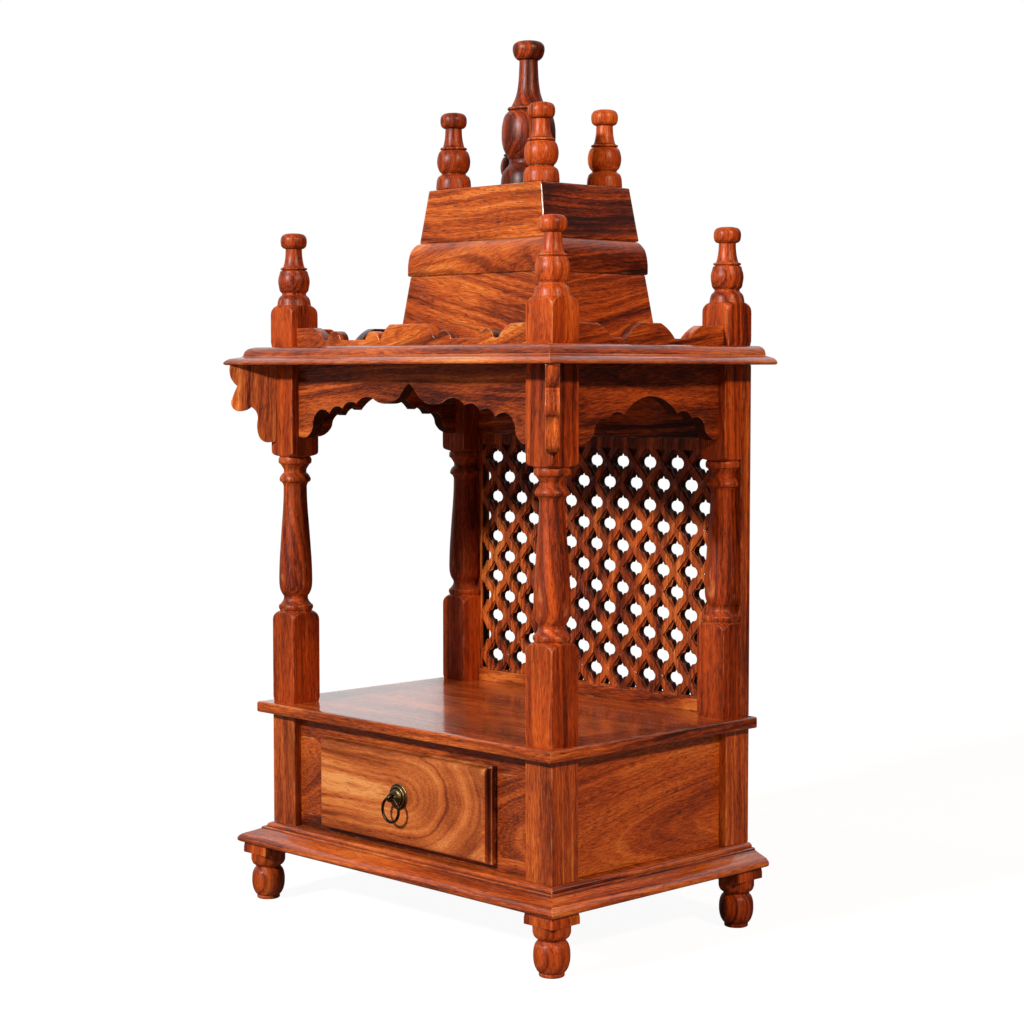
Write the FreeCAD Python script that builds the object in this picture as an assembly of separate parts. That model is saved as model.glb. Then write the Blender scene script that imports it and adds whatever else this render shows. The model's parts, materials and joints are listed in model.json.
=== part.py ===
import FreeCAD, Part
import math
import os

# A small wooden pooja mandir: a moulded plinth on turned feet, a box with one drawer,
# four turned pillars under a moulded roof, fretted aprons, a pierced back and a tower.
# Millimetres. +X is right, +Y is the back, +Z is up. The origin is on the floor, under
# the middle of the whole object's box.

# Feet
foot_plate_size = 38.0
foot_plate_thick = 11.0
foot_turned_height = 50.0
foot_inset = 24.0
foot_neck_r = 13.5
foot_belly_r = 17.6
foot_toe_r = 12.0

# Plinth
plinth_thick = 22.0
plinth_overhang = 28.4
plinth_nose_height = 8.8
plinth_bead_r = 4.5

# Box under the shelf
frame_width = 424.0
frame_depth = 289.0
post_size = 36.0
base_height = 120.0
panel_thick = 12.0
panel_setback = 9.0
front_thick = 18.0
rail_low_height = 15.0
rail_top_height = 23.0
drawer_opening_width = 236.0

# Drawer
runner_width = 22.0
slide_clearance = 0.4
side_clearance = 5.0
top_clearance = 5.0
drawer_front_thick = 14.5
drawer_front_lip_side = 10.0
drawer_front_lip_low = 8.0
drawer_front_lip_top = 7.0
drawer_edge_height = 8.5
drawer_edge_step = 1.8
drawer_edge_round = 3.4
drawer_side_thick = 10.0
drawer_back_thick = 9.0
drawer_bottom_thick = 5.0
drawer_bottom_rise = 6.0
drawer_groove = 4.0
drawer_back_gap = 6.0

# Ring pull
rosette_r = 13.5
rosette_step = 1.3
stem_r = 4.3
eye_reach = 11.0
eye_width = 5.0
eye_hole_r = 2.2
ring_r = 12.2
ring_wire_r = 1.5
pull_height = 57.5

# Shelf
shelf_thick = 11.5
shelf_overhang = 11.0
shelf_front_overhang = 13.5
shelf_edge_r = 2.0

# Pillars
pillar_height = 361.5
low_block = 88.5
top_block = 91.5
collar_r = 17.8
low_neck_r = 12.9
belly_r = 17.7
waist_r = 12.5
ring_bead_r = 16.9
top_neck_r = 12.0
top_collar_r = 17.2
stile_thick = 15.0
back_pillar_forward = 5.0

# Aprons, brackets and pierced back
apron_thick = 13.5
apron_height = 76.6
side_arch_shift = 2.5
bracket_thick = 13.5
bracket_reach = 43.0
bracket_height = 82.0
back_rail_low_height = 13.0
back_rail_top_height = 77.0
back_rail_thick = 18.0
lattice_thick = 9.0
lattice_side_border = 2.0
lattice_low_border = 1.2
lattice_top_border = 16.5
hole_pitch = 39.0
hole_row_pitch = 45.5
hole_shift = 3.5
hole_width = 26.0
hole_height = 33.0
hole_cusp_x = 5.5
hole_cusp_z = 6.2
first_row_rise = 31.0

# Roof
roof_low_thick = 9.5
roof_top_thick = 9.5
roof_overhang = 34.4
roof_front_overhang = 37.9
roof_tier_inset = 14.6

# Crest boards
crest_thick = 12.0
crest_setback = 7.0
crest_end_height = 20.0
crest_dip_height = 6.5
crest_mid_height = 21.5
crest_small_height = 16.0

# Corner posts on the roof
stub_block = 33.5
stub_shoulder = 11.1
stub_collar_r = 17.2
stub_bulb_r = 16.8

# Turned tops that all five small posts share
top_fillet_r = 14.1
top_stem_r = 9.0
top_knob_r = 13.7
small_top_height = 63.4

# Tower
tower_low_height = 74.5
tower_band_height = 35.0
tower_top_height = 55.5
tower_top_width = 168.2
tower_top_depth = 130.0
tower_top_foot_width = 187.0
tower_top_foot_depth = 140.0
tower_top_set_back = 2.5
tower_low_width = 200.0
tower_low_depth = 150.0
tower_base_width = 222.0
tower_base_depth = 166.0
tower_shift = 31.0
band_proud = 2.2
band_edge_r = 1.6
band_round = 23.0
corner_collar_r = 18.5
corner_bulb_r = 17.6
corner_collar_height = 16.5
spire_height = 154.5
spire_collar_r = 29.2
spire_neck_r = 20.2
spire_bulb_r = 28.3
spire_fillet_r = 21.8
spire_stem_r = 9.7
spire_knob_r = 16.8

# Levels, worked out from the sizes above
foot_height = foot_turned_height + foot_plate_thick
plinth_top = foot_height + plinth_thick
shelf_bottom = plinth_top + base_height
shelf_top = shelf_bottom + shelf_thick
roof_bottom = shelf_top + pillar_height
roof_top = roof_bottom + roof_low_thick + roof_top_thick
band_bottom = roof_top + tower_low_height
band_top = band_bottom + tower_band_height
tower_top = band_top + tower_top_height

# Places: half widths in X, and the front and back faces of the four corner posts in Y
half_width = frame_width / 2
back_y = (frame_depth + roof_front_overhang) / 2
front_y = back_y - frame_depth
post_x = half_width - post_size / 2
post_front_y = front_y + post_size / 2
post_back_y = back_y - post_size / 2
inner_x = half_width - post_size
inner_front_y = front_y + post_size
inner_back_y = back_y - post_size
face_y = front_y + panel_setback
pillar_back_y = post_back_y - back_pillar_forward
pillar_back_front_y = pillar_back_y - post_size / 2
tower_y = (front_y + back_y) / 2 + tower_shift
tower_top_y = tower_y + tower_top_set_back


def point(x, y, z):
    return FreeCAD.Vector(x, y, z)


def box(x0, x1, y0, y1, z0, z1):
    return Part.makeBox(x1 - x0, y1 - y0, z1 - z0, point(x0, y0, z0))


def outline(start, steps):
    """A closed face in the XZ plane. A step is a point, reached by a straight line, or a
    list of points: a middle and an end make an arc, and more make one smooth curve."""
    edges = []
    here = start
    for step in list(steps) + [start]:
        if isinstance(step, list):
            ends = [point(x, 0, z) for x, z in [here] + step]
            if len(ends) == 3:
                edges.append(Part.Arc(*ends).toShape())
            else:
                curve = Part.BSplineCurve()
                curve.interpolate(ends)
                edges.append(curve.toShape())
            here = step[-1]
        elif math.dist(here, step) > 1e-6:
            ends = [point(x, 0, z) for x, z in (here, step)]
            edges.append(Part.LineSegment(*ends).toShape())
            here = step
    return Part.Face(Part.Wire(edges))


def mirrored(start, steps):
    """The steps of an outline's right half, run on through its left half, which mirrors it.
    The half runs from the left to the middle line, where x is zero."""
    ends = [start] + [step[-1] if isinstance(step, list) else step for step in steps]
    back = []
    for index in range(len(steps) - 1, -1, -1):
        step = steps[index]
        to = (-ends[index][0], ends[index][1])
        if isinstance(step, list):
            back.append([(-x, z) for x, z in reversed(step[:-1])] + [to])
        else:
            back.append(to)
    return list(steps) + back


def dome(r, low, high):
    """The arc from a rim over the axis, with its centre on the axis."""
    rise = high - low
    round_r = (r * r + rise * rise) / (2 * rise)
    half_turn = math.asin(r / round_r) / 2
    return [(round_r * math.sin(half_turn), high - round_r * (1 - math.cos(half_turn))), (0, high)]


def board(face, y0, y1):
    """A face drawn in the XZ plane, made a board between two places in Y."""
    face = face.translated(point(0, y0, 0))
    return face.extrude(point(0, y1 - y0, 0))


def turned(start, steps):
    """A half outline of radius and height, turned about the Z axis."""
    return outline(start, steps).revolve(point(0, 0, 0), point(0, 0, 1), 360)


def moulded(start, steps, x0, x1, y0, y1, thick, sides):
    """A board on the XY plane whose named sides carry one moulding, mitred at the corners.
    The moulding is drawn outwards from the board's side and upwards from its underside."""
    reach = (x1 - x0) + (y1 - y0)
    middle_x = (x0 + x1) / 2
    middle_y = (y0 + y1) / 2
    places = {
        "right": (0, x1, middle_y),
        "back": (90, middle_x, y1),
        "left": (180, x0, middle_y),
        "front": (270, middle_x, y0),
    }
    body = box(x0, x1, y0, y1, 0, thick)
    strip = outline((-reach, 0), [start] + steps + [(-reach, thick)])
    strip = board(strip, -reach, reach)
    for side in sides:
        turn, x, y = places[side]
        cutter = strip.rotated(point(0, 0, 0), point(0, 0, 1), turn)
        body = body.common(cutter.translated(point(x, y, 0)))
    return body


def place(shape, x, y, z):
    return shape.translated(point(x, y, z))


def corners(x, y_front, y_back):
    """The four corners' names and places."""
    return {
        "front_left": (-x, y_front),
        "front_right": (x, y_front),
        "back_left": (-x, y_back),
        "back_right": (x, y_back),
    }


def square_turning(size, start, steps, height, flat_back=None):
    """A square bar that the lathe has turned only where its outline is inside the square."""
    half = size / 2
    depth = half if flat_back is None else flat_back
    bar = box(-half, half, -half, depth, 0, height)
    return bar.common(turned(start, steps))


def make_foot():
    top = foot_turned_height
    corner = foot_plate_size / math.sqrt(2)
    outside = foot_plate_size
    steps = [
        (foot_toe_r, 0),
        [(foot_toe_r + 3.8, 6.0), (foot_belly_r, top * 0.38)],
        [(foot_belly_r - 0.5, top * 0.52), (foot_neck_r + 1.2, top * 0.635)],
        (foot_neck_r, top * 0.67),
        (foot_neck_r, top - 14.5),
        [(foot_neck_r + 2.4, top - 12.4), (foot_belly_r, top - 9.0)],
        (foot_belly_r + 0.4, top - 5.2),
        [(corner - 2.6, top - 3.4), (corner, top)],
        (outside, top),
        (outside, foot_height),
        (0, foot_height),
    ]
    return square_turning(foot_plate_size, (0, 0), steps, foot_height)


def make_plinth():
    nose = plinth_nose_height
    bead_x = 1.1 - plinth_overhang
    bead_z = plinth_thick - plinth_bead_r
    eased = plinth_bead_r * math.sqrt(0.5)
    steps = [
        [(0, nose / 2), (-3.8, nose)],
        (bead_x + plinth_bead_r + 0.8, bead_z - 0.6),
        (bead_x + plinth_bead_r, bead_z),
        [(bead_x + eased, bead_z + eased), (bead_x, plinth_thick)],
    ]
    body = moulded(
        (-3.0, 0),
        steps,
        -half_width - plinth_overhang,
        half_width + plinth_overhang,
        front_y - plinth_overhang,
        back_y,
        plinth_thick,
        ["left", "right", "front"],
    )
    return place(body, 0, 0, foot_height)


def make_shelf():
    r = shelf_edge_r
    eased = r * (1 - math.sqrt(0.5))
    steps = [
        [(-eased, eased), (0, r)],
        (0, shelf_thick - r),
        [(-eased, shelf_thick - eased), (-r, shelf_thick)],
    ]
    body = moulded(
        (-r, 0),
        steps,
        -half_width - shelf_overhang,
        half_width + shelf_overhang,
        front_y - shelf_front_overhang,
        back_y,
        shelf_thick,
        ["left", "right", "front"],
    )
    return place(body, 0, 0, shelf_bottom)


def make_roof_low():
    top = roof_low_thick
    steps = [
        [(0, 2.3), (-3.0, 5.8)],
        (-roof_tier_inset, top),
    ]
    body = moulded(
        (-2.6, 0),
        steps,
        -half_width - roof_overhang,
        half_width + roof_overhang,
        front_y - roof_front_overhang,
        back_y,
        roof_low_thick,
        ["left", "right", "front"],
    )
    return place(body, 0, 0, roof_bottom)


def make_roof_top():
    top = roof_top_thick
    steps = [
        (-1.4, 3.8),
        [(-3.6, 7.6), (-9.2, top)],
    ]
    inset = roof_tier_inset
    body = moulded(
        (0, 0),
        steps,
        -half_width - roof_overhang + inset,
        half_width + roof_overhang - inset,
        front_y - roof_front_overhang + inset,
        back_y,
        roof_top_thick,
        ["left", "right", "front"],
    )
    return place(body, 0, 0, roof_bottom + roof_low_thick)


def make_base_panels():
    side_x = half_width - panel_setback
    low = plinth_top
    high = shelf_bottom
    right = box(side_x - panel_thick, side_x, inner_front_y, inner_back_y, low, high)
    left = right.mirror(point(0, 0, 0), point(1, 0, 0))
    back_face = back_y - panel_setback
    back = box(-inner_x, inner_x, back_face - panel_thick, back_face, low, high)
    return {"base_side_left": left, "base_side_right": right, "base_back": back}


def make_front_frame():
    inside_y = face_y + front_thick
    half_opening = drawer_opening_width / 2
    low = plinth_top + rail_low_height
    high = shelf_bottom - rail_top_height
    right = box(half_opening, inner_x, face_y, inside_y, low, high)
    return {
        "front_rail_low": box(-inner_x, inner_x, face_y, inside_y, plinth_top, low),
        "front_rail_top": box(-inner_x, inner_x, face_y, inside_y, high, shelf_bottom),
        "front_stile_right": right,
        "front_stile_left": right.mirror(point(0, 0, 0), point(1, 0, 0)),
    }


def make_runners():
    """Two strips on the plinth, flush with the top of the low front rail."""
    inside_y = face_y + front_thick
    back_inside_y = back_y - panel_setback - panel_thick
    outer = drawer_opening_width / 2
    high = plinth_top + rail_low_height
    right = box(outer - runner_width, outer, inside_y, back_inside_y, plinth_top, high)
    left = right.mirror(point(0, 0, 0), point(1, 0, 0))
    return {"drawer_runner_right": right, "drawer_runner_left": left}


def make_drawer():
    low = plinth_top + rail_low_height + slide_clearance
    high = shelf_bottom - rail_top_height - top_clearance
    half = drawer_opening_width / 2 - side_clearance
    box_front = face_y - slide_clearance
    box_back = back_y - panel_setback - panel_thick - drawer_back_gap
    bottom_low = low + drawer_bottom_rise
    bottom_high = bottom_low + drawer_bottom_thick
    inside = half - drawer_side_thick
    right = box(inside, half, box_front, box_back, low, high)
    bottom_half = inside + drawer_groove
    bottom = box(-bottom_half, bottom_half, box_front, box_back, bottom_low, bottom_high)
    right = right.cut(bottom)
    back = box(-inside, inside, box_back - drawer_back_thick, box_back, bottom_high, high)

    front_low = plinth_top + rail_low_height - drawer_front_lip_low
    front_high = shelf_bottom - rail_top_height + drawer_front_lip_top
    front_half = drawer_opening_width / 2 + drawer_front_lip_side
    edge = drawer_edge_height
    step = drawer_edge_step
    thick = drawer_front_thick
    steps = [
        (0, edge - step),
        [(-step * 0.3, edge - step * 0.3), (-step, edge)],
        (-step, edge + 1.2),
        [(-step - 1.0, thick - 1.0), (-step - drawer_edge_round, thick)],
    ]
    front = moulded(
        (0, 0),
        steps,
        -front_half,
        front_half,
        front_low,
        front_high,
        thick,
        ["left", "right", "front", "back"],
    )
    front = front.rotated(point(0, 0, 0), point(1, 0, 0), 90)
    front = place(front, 0, box_front, 0)
    return {
        "drawer_front": front,
        "drawer_side_right": right,
        "drawer_side_left": right.mirror(point(0, 0, 0), point(1, 0, 0)),
        "drawer_back": back,
        "drawer_bottom": bottom,
    }


def eye_centre():
    """The middle of the eye that carries the ring: its place in Y and Z."""
    plate_y = face_y - slide_clearance - drawer_front_thick
    return plate_y - eye_reach, plinth_top + pull_height


def make_pull():
    """A stepped rosette with a stem that ends in an eye, and the ring that hangs in it."""
    eye_y, eye_z = eye_centre()
    step = rosette_step
    end = eye_reach + stem_r
    steps = [
        (rosette_r, 0),
        (rosette_r, step),
        (rosette_r - 2.4, step * 1.5),
        (rosette_r - 2.6, step * 2.3),
        (rosette_r - 5.2, step * 2.8),
        [(stem_r + 1.0, step * 3.6), (stem_r, step * 5.2)],
        (stem_r, eye_reach),
        [(stem_r * math.sqrt(0.5), eye_reach + stem_r * math.sqrt(0.5)), (0, end)],
    ]
    rosette = turned((0, 0), steps)
    stem = box(-eye_width / 2, eye_width / 2, -rosette_r, rosette_r, step * 4.6, end)
    foot = box(-rosette_r, rosette_r, -rosette_r, rosette_r, 0, step * 4.6)
    rosette = rosette.common(stem.fuse(foot))
    hole = Part.makeCylinder(eye_hole_r, 2 * rosette_r, point(-rosette_r, 0, eye_reach), point(1, 0, 0))
    rosette = rosette.cut(hole)
    rosette = rosette.rotated(point(0, 0, 0), point(1, 0, 0), 90)
    rosette = place(rosette, 0, eye_y + eye_reach, eye_z)
    ring = Part.makeTorus(ring_r, ring_wire_r, point(0, eye_y, eye_z - ring_r), point(0, 1, 0))
    return {"pull_rosette": rosette, "pull_ring": ring}


def pillar_steps():
    """Radius and height from the pillar's foot: a block, a vase with its neck below, a ring
    and a collar above, and the top block."""
    low = low_block
    high = pillar_height - top_block
    corner = post_size / math.sqrt(2) + 0.1
    outside = post_size
    taper_low = low + 43.5
    taper_high = high - 39.0
    taper = []
    for share in (0.25, 0.5, 0.75, 1.0):
        r = waist_r + (belly_r - waist_r) * (1 + math.cos(math.pi * share)) / 2
        taper.append((r, taper_low + (taper_high - taper_low) * share))
    return [
        (outside, 0),
        (outside, low),
        (corner, low),
        [(corner - 2.4, low + 5.8), (collar_r, low + 9.6)],
        (collar_r - 0.4, low + 15.5),
        [(collar_r - 1.7, low + 19.2), (low_neck_r, low + 22.0)],
        (low_neck_r, low + 25.6),
        [(belly_r - 1.3, low + 32.0), (belly_r, taper_low)],
        taper,
        (waist_r + 0.3, high - 36.0),
        (waist_r + 1.7, high - 33.2),
        [(ring_bead_r, high - 30.3), (ring_bead_r - 1.8, high - 26.5)],
        (top_neck_r, high - 23.5),
        (top_neck_r, high - 20.0),
        [(top_neck_r + 2.0, high - 16.4), (top_collar_r - 0.3, high - 10.5)],
        (top_collar_r, high - 5.8),
        [(corner - 2.4, high - 4.2), (corner, high)],
        (outside, high),
        (outside, pillar_height),
        (0, pillar_height),
    ]


def make_pillars():
    """The front pillars are whole. The back ones are flat where they meet the back stiles."""
    steps = pillar_steps()
    whole = square_turning(post_size, (0, 0), steps, pillar_height)
    behind = back_y - stile_thick - pillar_back_y
    flat = square_turning(post_size, (0, 0), steps, pillar_height, behind)
    parts = {}
    for name, (x, y) in corners(post_x, post_front_y, pillar_back_y).items():
        shape = whole if name.startswith("front") else flat
        parts["pillar_" + name] = place(shape, x, y, shelf_top)
    right = box(inner_x, half_width, back_y - stile_thick, back_y, shelf_top, roof_bottom)
    parts["back_stile_right"] = right
    parts["back_stile_left"] = right.mirror(point(0, 0, 0), point(1, 0, 0))
    return parts


def fret(half_span, rows, left, right):
    """An apron's face, from one end to the other. Its fretted lower edge is drawn from the
    left to the arch's middle as shares of the half span and heights above the apron's foot,
    and mirrored."""
    foot = roof_bottom - apron_height

    def at(pair):
        return (-pair[0] * half_span, foot + pair[1])

    steps = [[at(pair) for pair in row] if isinstance(row, list) else at(row) for row in rows]
    arch = mirrored((-half_span, foot), steps)[:-1]
    ends = [(right, foot), (right, roof_bottom), (left, roof_bottom)]
    return outline((left, foot), arch + ends)


def make_aprons():
    front_rows = [
        (0.943, 0),
        [(0.896, 4.2), (0.866, 14.0)],
        [(0.806, 29.2), (0.712, 25.5)],
        [(0.662, 33.0), (0.592, 31.0)],
        [(0.543, 37.6), (0.464, 36.4)],
        [(0.396, 43.1), (0.293, 39.7)],
        [(0.180, 37.2), (0.082, 44.0)],
        [(0.046, 51.0), (0, 57.6)],
    ]
    side_rows = [
        (0.904, 0),
        [(0.807, 3.8), (0.743, 11.5)],
        [(0.664, 23.3), (0.563, 22.1)],
        [(0.484, 29.6), (0.360, 27.6)],
        [(0.190, 41.0), (0, 45.2)],
    ]
    face = fret(inner_x, front_rows, -inner_x, inner_x)
    front = board(face, face_y, face_y + apron_thick)
    half_side = (inner_back_y - inner_front_y) / 2
    arch_y = (inner_front_y + inner_back_y) / 2 + side_arch_shift
    face = fret(half_side, side_rows, inner_front_y - arch_y, pillar_back_front_y - arch_y)
    side = board(face, 0, apron_thick)
    side = side.rotated(point(0, 0, 0), point(0, 0, 1), 90)
    right = place(side, half_width - panel_setback, arch_y, 0)
    return {
        "apron_front": front,
        "apron_right": right,
        "apron_left": right.mirror(point(0, 0, 0), point(1, 0, 0)),
    }


def make_brackets():
    """Scrolled brackets at the two front corners. Each stands on the diagonal and is notched
    over the pillar's corner."""
    reach = bracket_reach
    drop = bracket_height
    steps = [
        (reach, 0),
        [(reach + 0.5, -5.6), (reach - 1.2, -14.0)],
        [(reach - 4.2, -18.6), (reach - 7.8, -22.2)],
        [(reach - 4.4, -29.6), (reach - 1.4, -38.0)],
        [(reach - 5.0, -47.6), (reach - 13.0, -48.8)],
        [(reach - 17.6, -47.4), (reach - 21.8, -44.2)],
        [(reach - 28.6, -51.0), (reach - 29.2, -59.0)],
        [(reach - 28.8, -68.0), (reach - 30.6, -75.6)],
        [(reach - 36.2, 0.5 - drop), (0, -drop)],
        (-bracket_thick, -drop),
        (-bracket_thick, 0),
    ]
    flat = board(outline((0, 0), steps), -bracket_thick / 2, bracket_thick / 2)
    arm = flat.rotated(point(0, 0, 0), point(0, 0, 1), -45)
    arm = place(arm, half_width, front_y, roof_bottom)
    corner = box(inner_x, half_width, front_y, inner_front_y, shelf_top, roof_bottom)
    right = arm.cut(corner)
    return {"bracket_right": right, "bracket_left": right.mirror(point(0, 0, 0), point(1, 0, 0))}


def hole_face(x, z):
    """A hole of the pierced back: a round lobe each side and a point above and below."""
    cusps = [(x + hole_cusp_x, z + hole_cusp_z), (x + hole_cusp_x, z - hole_cusp_z)]
    left = [(x - hole_cusp_x, z - hole_cusp_z), (x - hole_cusp_x, z + hole_cusp_z)]
    steps = [
        cusps[0],
        [(x + hole_width / 2, z), cusps[1]],
        (x, z - hole_height / 2),
        left[0],
        [(x - hole_width / 2, z), left[1]],
    ]
    return outline((x, z + hole_height / 2), steps)


def make_back():
    low = shelf_top + back_rail_low_height
    high = roof_bottom - back_rail_top_height
    rail_y = back_y - back_rail_thick
    window = outline(
        (-inner_x + lattice_side_border, low + lattice_low_border),
        [
            (inner_x - lattice_side_border, low + lattice_low_border),
            (inner_x - lattice_side_border, high - lattice_top_border),
            (-inner_x + lattice_side_border, high - lattice_top_border),
        ],
    )
    holes = []
    columns = math.ceil(inner_x / hole_pitch * 2)
    rows = math.ceil((high - low) / hole_row_pitch) + 1
    for column in range(-columns, columns + 1):
        shift = 0.5 if column % 2 else 0.0
        for row in range(-1, rows):
            x = column * hole_pitch / 2 + hole_shift
            z = shelf_top + first_row_rise + (row + shift) * hole_row_pitch
            reach_x = inner_x - lattice_side_border + hole_width / 2
            reach_z = hole_height / 2
            inside = low + lattice_low_border - reach_z < z < high - lattice_top_border
            if abs(x) < reach_x and inside:
                holes.append(hole_face(x, z))
    pattern = window.common(Part.makeCompound(holes))
    panel = outline((-inner_x, low), [(inner_x, low), (inner_x, high), (-inner_x, high)]).cut(pattern)
    lattice_y = back_y - stile_thick
    lattice = board(panel, lattice_y, lattice_y + lattice_thick)
    return {
        "back_lattice": lattice.Solids[0] if len(lattice.Solids) == 1 else lattice,
        "back_rail_low": box(-inner_x, inner_x, rail_y, back_y, shelf_top, low),
        "back_rail_top": box(-inner_x, inner_x, rail_y, back_y, high, roof_bottom),
    }


def crest(half_span, rows):
    """A crest board's face, its top edge drawn from the left end to the middle as shares of
    the half span and heights above the roof, and mirrored."""

    def at(pair):
        return (-pair[0] * half_span, roof_top + pair[1])

    steps = [[at(pair) for pair in row] if isinstance(row, list) else at(row) for row in rows]
    start = (-half_span, roof_top + crest_end_height)
    whole = mirrored(start, steps)
    return outline(start, whole + [(half_span, roof_top), (-half_span, roof_top)])


def make_crests():
    end = crest_end_height
    dip = crest_dip_height
    small = crest_small_height
    mid = crest_mid_height
    front_rows = [
        (0.852, end),
        [(0.790, end - 5.6), (0.745, dip)],
        (0.710, dip),
        [(0.651, small), (0.592, dip)],
        (0.368, dip),
        [(0.307, small - 1.0), (0.246, dip)],
        (0.233, dip),
        [(0.203, dip + 7.9), (0.150, mid)],
        (0, mid),
    ]
    side_rows = [
        (0.701, end),
        [(0.602, end - 5.4), (0.512, dip)],
        (0.323, dip),
        [(0.252, dip + 7.5), (0.130, mid)],
        (0, mid),
    ]
    crest_y = front_y + crest_setback
    front = board(crest(inner_x, front_rows), crest_y, crest_y + crest_thick)
    half_side = (inner_back_y - inner_front_y) / 2
    side = board(crest(half_side, side_rows), 0, crest_thick)
    side = side.rotated(point(0, 0, 0), point(0, 0, 1), 90)
    middle_y = (inner_front_y + inner_back_y) / 2
    right = place(side, half_width - crest_setback, middle_y, 0)
    return {
        "crest_front": front,
        "crest_right": right,
        "crest_left": right.mirror(point(0, 0, 0), point(1, 0, 0)),
    }


def small_top(base, bulb_r):
    """The bulb, fillet, stem and knob that end each small post, above a given height."""
    neck_r = top_fillet_r
    return [
        (neck_r, base),
        [(bulb_r, base + 12.0), (bulb_r - 1.9, base + 22.5)],
        (neck_r, base + 23.8),
        (neck_r, base + 27.3),
        [(top_stem_r + 1.4, base + 33.6), (top_stem_r, base + 45.5)],
        (top_stem_r, base + 48.0),
        [(top_knob_r, base + 55.4), (top_knob_r - 3.2, base + 61.2)],
        dome(top_knob_r - 3.2, base + 61.2, base + small_top_height),
    ]


def make_roof_posts():
    corner = post_size / math.sqrt(2) + 0.1
    collar = stub_block + stub_shoulder
    steps = [
        (post_size, 0),
        (post_size, stub_block),
        (corner, stub_block),
        [(corner - 2.2, stub_block + 6.2), (stub_collar_r, collar)],
        (stub_collar_r - 0.6, collar + 5.9),
        [(stub_collar_r - 2.0, collar + 9.0), (top_fillet_r - 1.4, collar + 11.2)],
    ]
    steps = steps + small_top(collar + 13.0, stub_bulb_r)
    bar_height = collar + 13.0 + small_top_height
    shape = square_turning(post_size, (0, 0), steps, bar_height)
    parts = {}
    for name, (x, y) in corners(post_x, post_front_y, post_back_y).items():
        parts["roof_post_" + name] = place(shape, x, y, roof_top)
    return parts


def frustum(foot_size, top_size, height):
    """A four-sided block that leans in evenly, centred on the Z axis. Each size is a width
    and a depth."""
    rings = []
    for (width, depth), z in ((foot_size, 0), (top_size, height)):
        x = width / 2
        y = depth / 2
        ring = [point(-x, -y, z), point(x, -y, z), point(x, y, z), point(-x, y, z), point(-x, -y, z)]
        rings.append(Part.makePolygon(ring))
    return Part.makeLoft(rings, True, True)


def make_tower():
    foot_size = (tower_base_width, tower_base_depth)
    low = frustum(foot_size, (tower_low_width, tower_low_depth), tower_low_height)
    foot_size = (tower_top_foot_width, tower_top_foot_depth)
    top = frustum(foot_size, (tower_top_width, tower_top_depth), tower_top_height)
    half_x = tower_low_width / 2 + band_proud
    half_y = tower_low_depth / 2 + band_proud
    r = band_edge_r
    high = tower_band_height
    steps = [
        [(-r * 0.3, r * 0.3), (0, r)],
        (0, high - band_round),
        [(-1.8, high - band_round / 2), (-9.0, high)],
    ]
    sides = ["left", "right", "front", "back"]
    band = moulded((-r, 0), steps, -half_x, half_x, -half_y, half_y, high, sides)
    return {
        "tower_low": place(low, 0, tower_y, roof_top),
        "tower_band": place(band, 0, tower_y, band_bottom),
        "tower_top": place(top, 0, tower_top_y, band_top),
    }


def make_tower_posts():
    collar = corner_collar_height
    steps = [
        (corner_collar_r, 0),
        (corner_collar_r - 0.1, collar * 0.36),
        [(corner_collar_r - 0.9, collar * 0.68), (top_fillet_r + 0.4, collar * 0.94)],
    ]
    steps = steps + small_top(collar + 1.5, corner_bulb_r)
    shape = turned((0, 0), steps)
    y = tower_top_y
    x = tower_top_width / 2 - corner_collar_r
    half_y = tower_top_depth / 2 - corner_collar_r
    parts = {}
    for name, (cx, cy) in corners(x, y - half_y, y + half_y).items():
        parts["tower_post_" + name] = place(shape, cx, cy, tower_top)
    return parts


def make_spire():
    high = spire_height
    steps = [
        (spire_collar_r, 0),
        (spire_collar_r - 0.5, 12.0),
        [(spire_collar_r - 2.4, 19.0), (spire_neck_r + 1.0, 25.4)],
        (spire_neck_r, 27.5),
        (spire_neck_r, 31.5),
        [(spire_bulb_r - 3.0, 40.0), (spire_bulb_r, 56.0)],
        [(spire_bulb_r - 1.8, 72.5), (spire_neck_r + 1.2, 81.5)],
        (spire_fillet_r, 82.0),
        (spire_fillet_r, 84.8),
        [(spire_stem_r + 3.7, 97.0), (spire_stem_r + 1.4, 109.0)],
        (spire_stem_r, high - 24.0),
        (spire_stem_r, high - 18.0),
        [(spire_knob_r, high - 9.2), (spire_knob_r - 3.5, high - 2.8)],
        dome(spire_knob_r - 3.5, high - 2.8, high),
    ]
    return {"spire": place(turned((0, 0), steps), 0, tower_top_y, tower_top)}


def make_feet():
    foot = make_foot()
    nose_x = half_width + plinth_overhang - foot_inset
    nose_front = front_y - plinth_overhang + foot_inset
    parts = {}
    for name, (x, y) in corners(nose_x, nose_front, back_y - foot_inset).items():
        parts["foot_" + name] = place(foot, x, y, 0)
    return parts


def make_base_posts():
    parts = {}
    half = post_size / 2
    for name, (x, y) in corners(post_x, post_front_y, post_back_y).items():
        post = box(x - half, x + half, y - half, y + half, plinth_top, shelf_bottom)
        parts["base_post_" + name] = post
    return parts


parts = {"plinth": make_plinth(), "shelf": make_shelf()}
parts.update({"roof_low": make_roof_low(), "roof_top": make_roof_top()})
makers = [
    make_feet, make_base_posts, make_base_panels, make_front_frame, make_runners, make_drawer,
    make_pull, make_pillars, make_aprons, make_brackets, make_back, make_crests, make_roof_posts,
    make_tower, make_tower_posts, make_spire,
]
for maker in makers:
    parts.update(maker())

os.makedirs("parts", exist_ok=True)
for name, shape in parts.items():
    shape.exportStep("parts/" + name + ".step")
print(len(parts), "parts")
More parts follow.
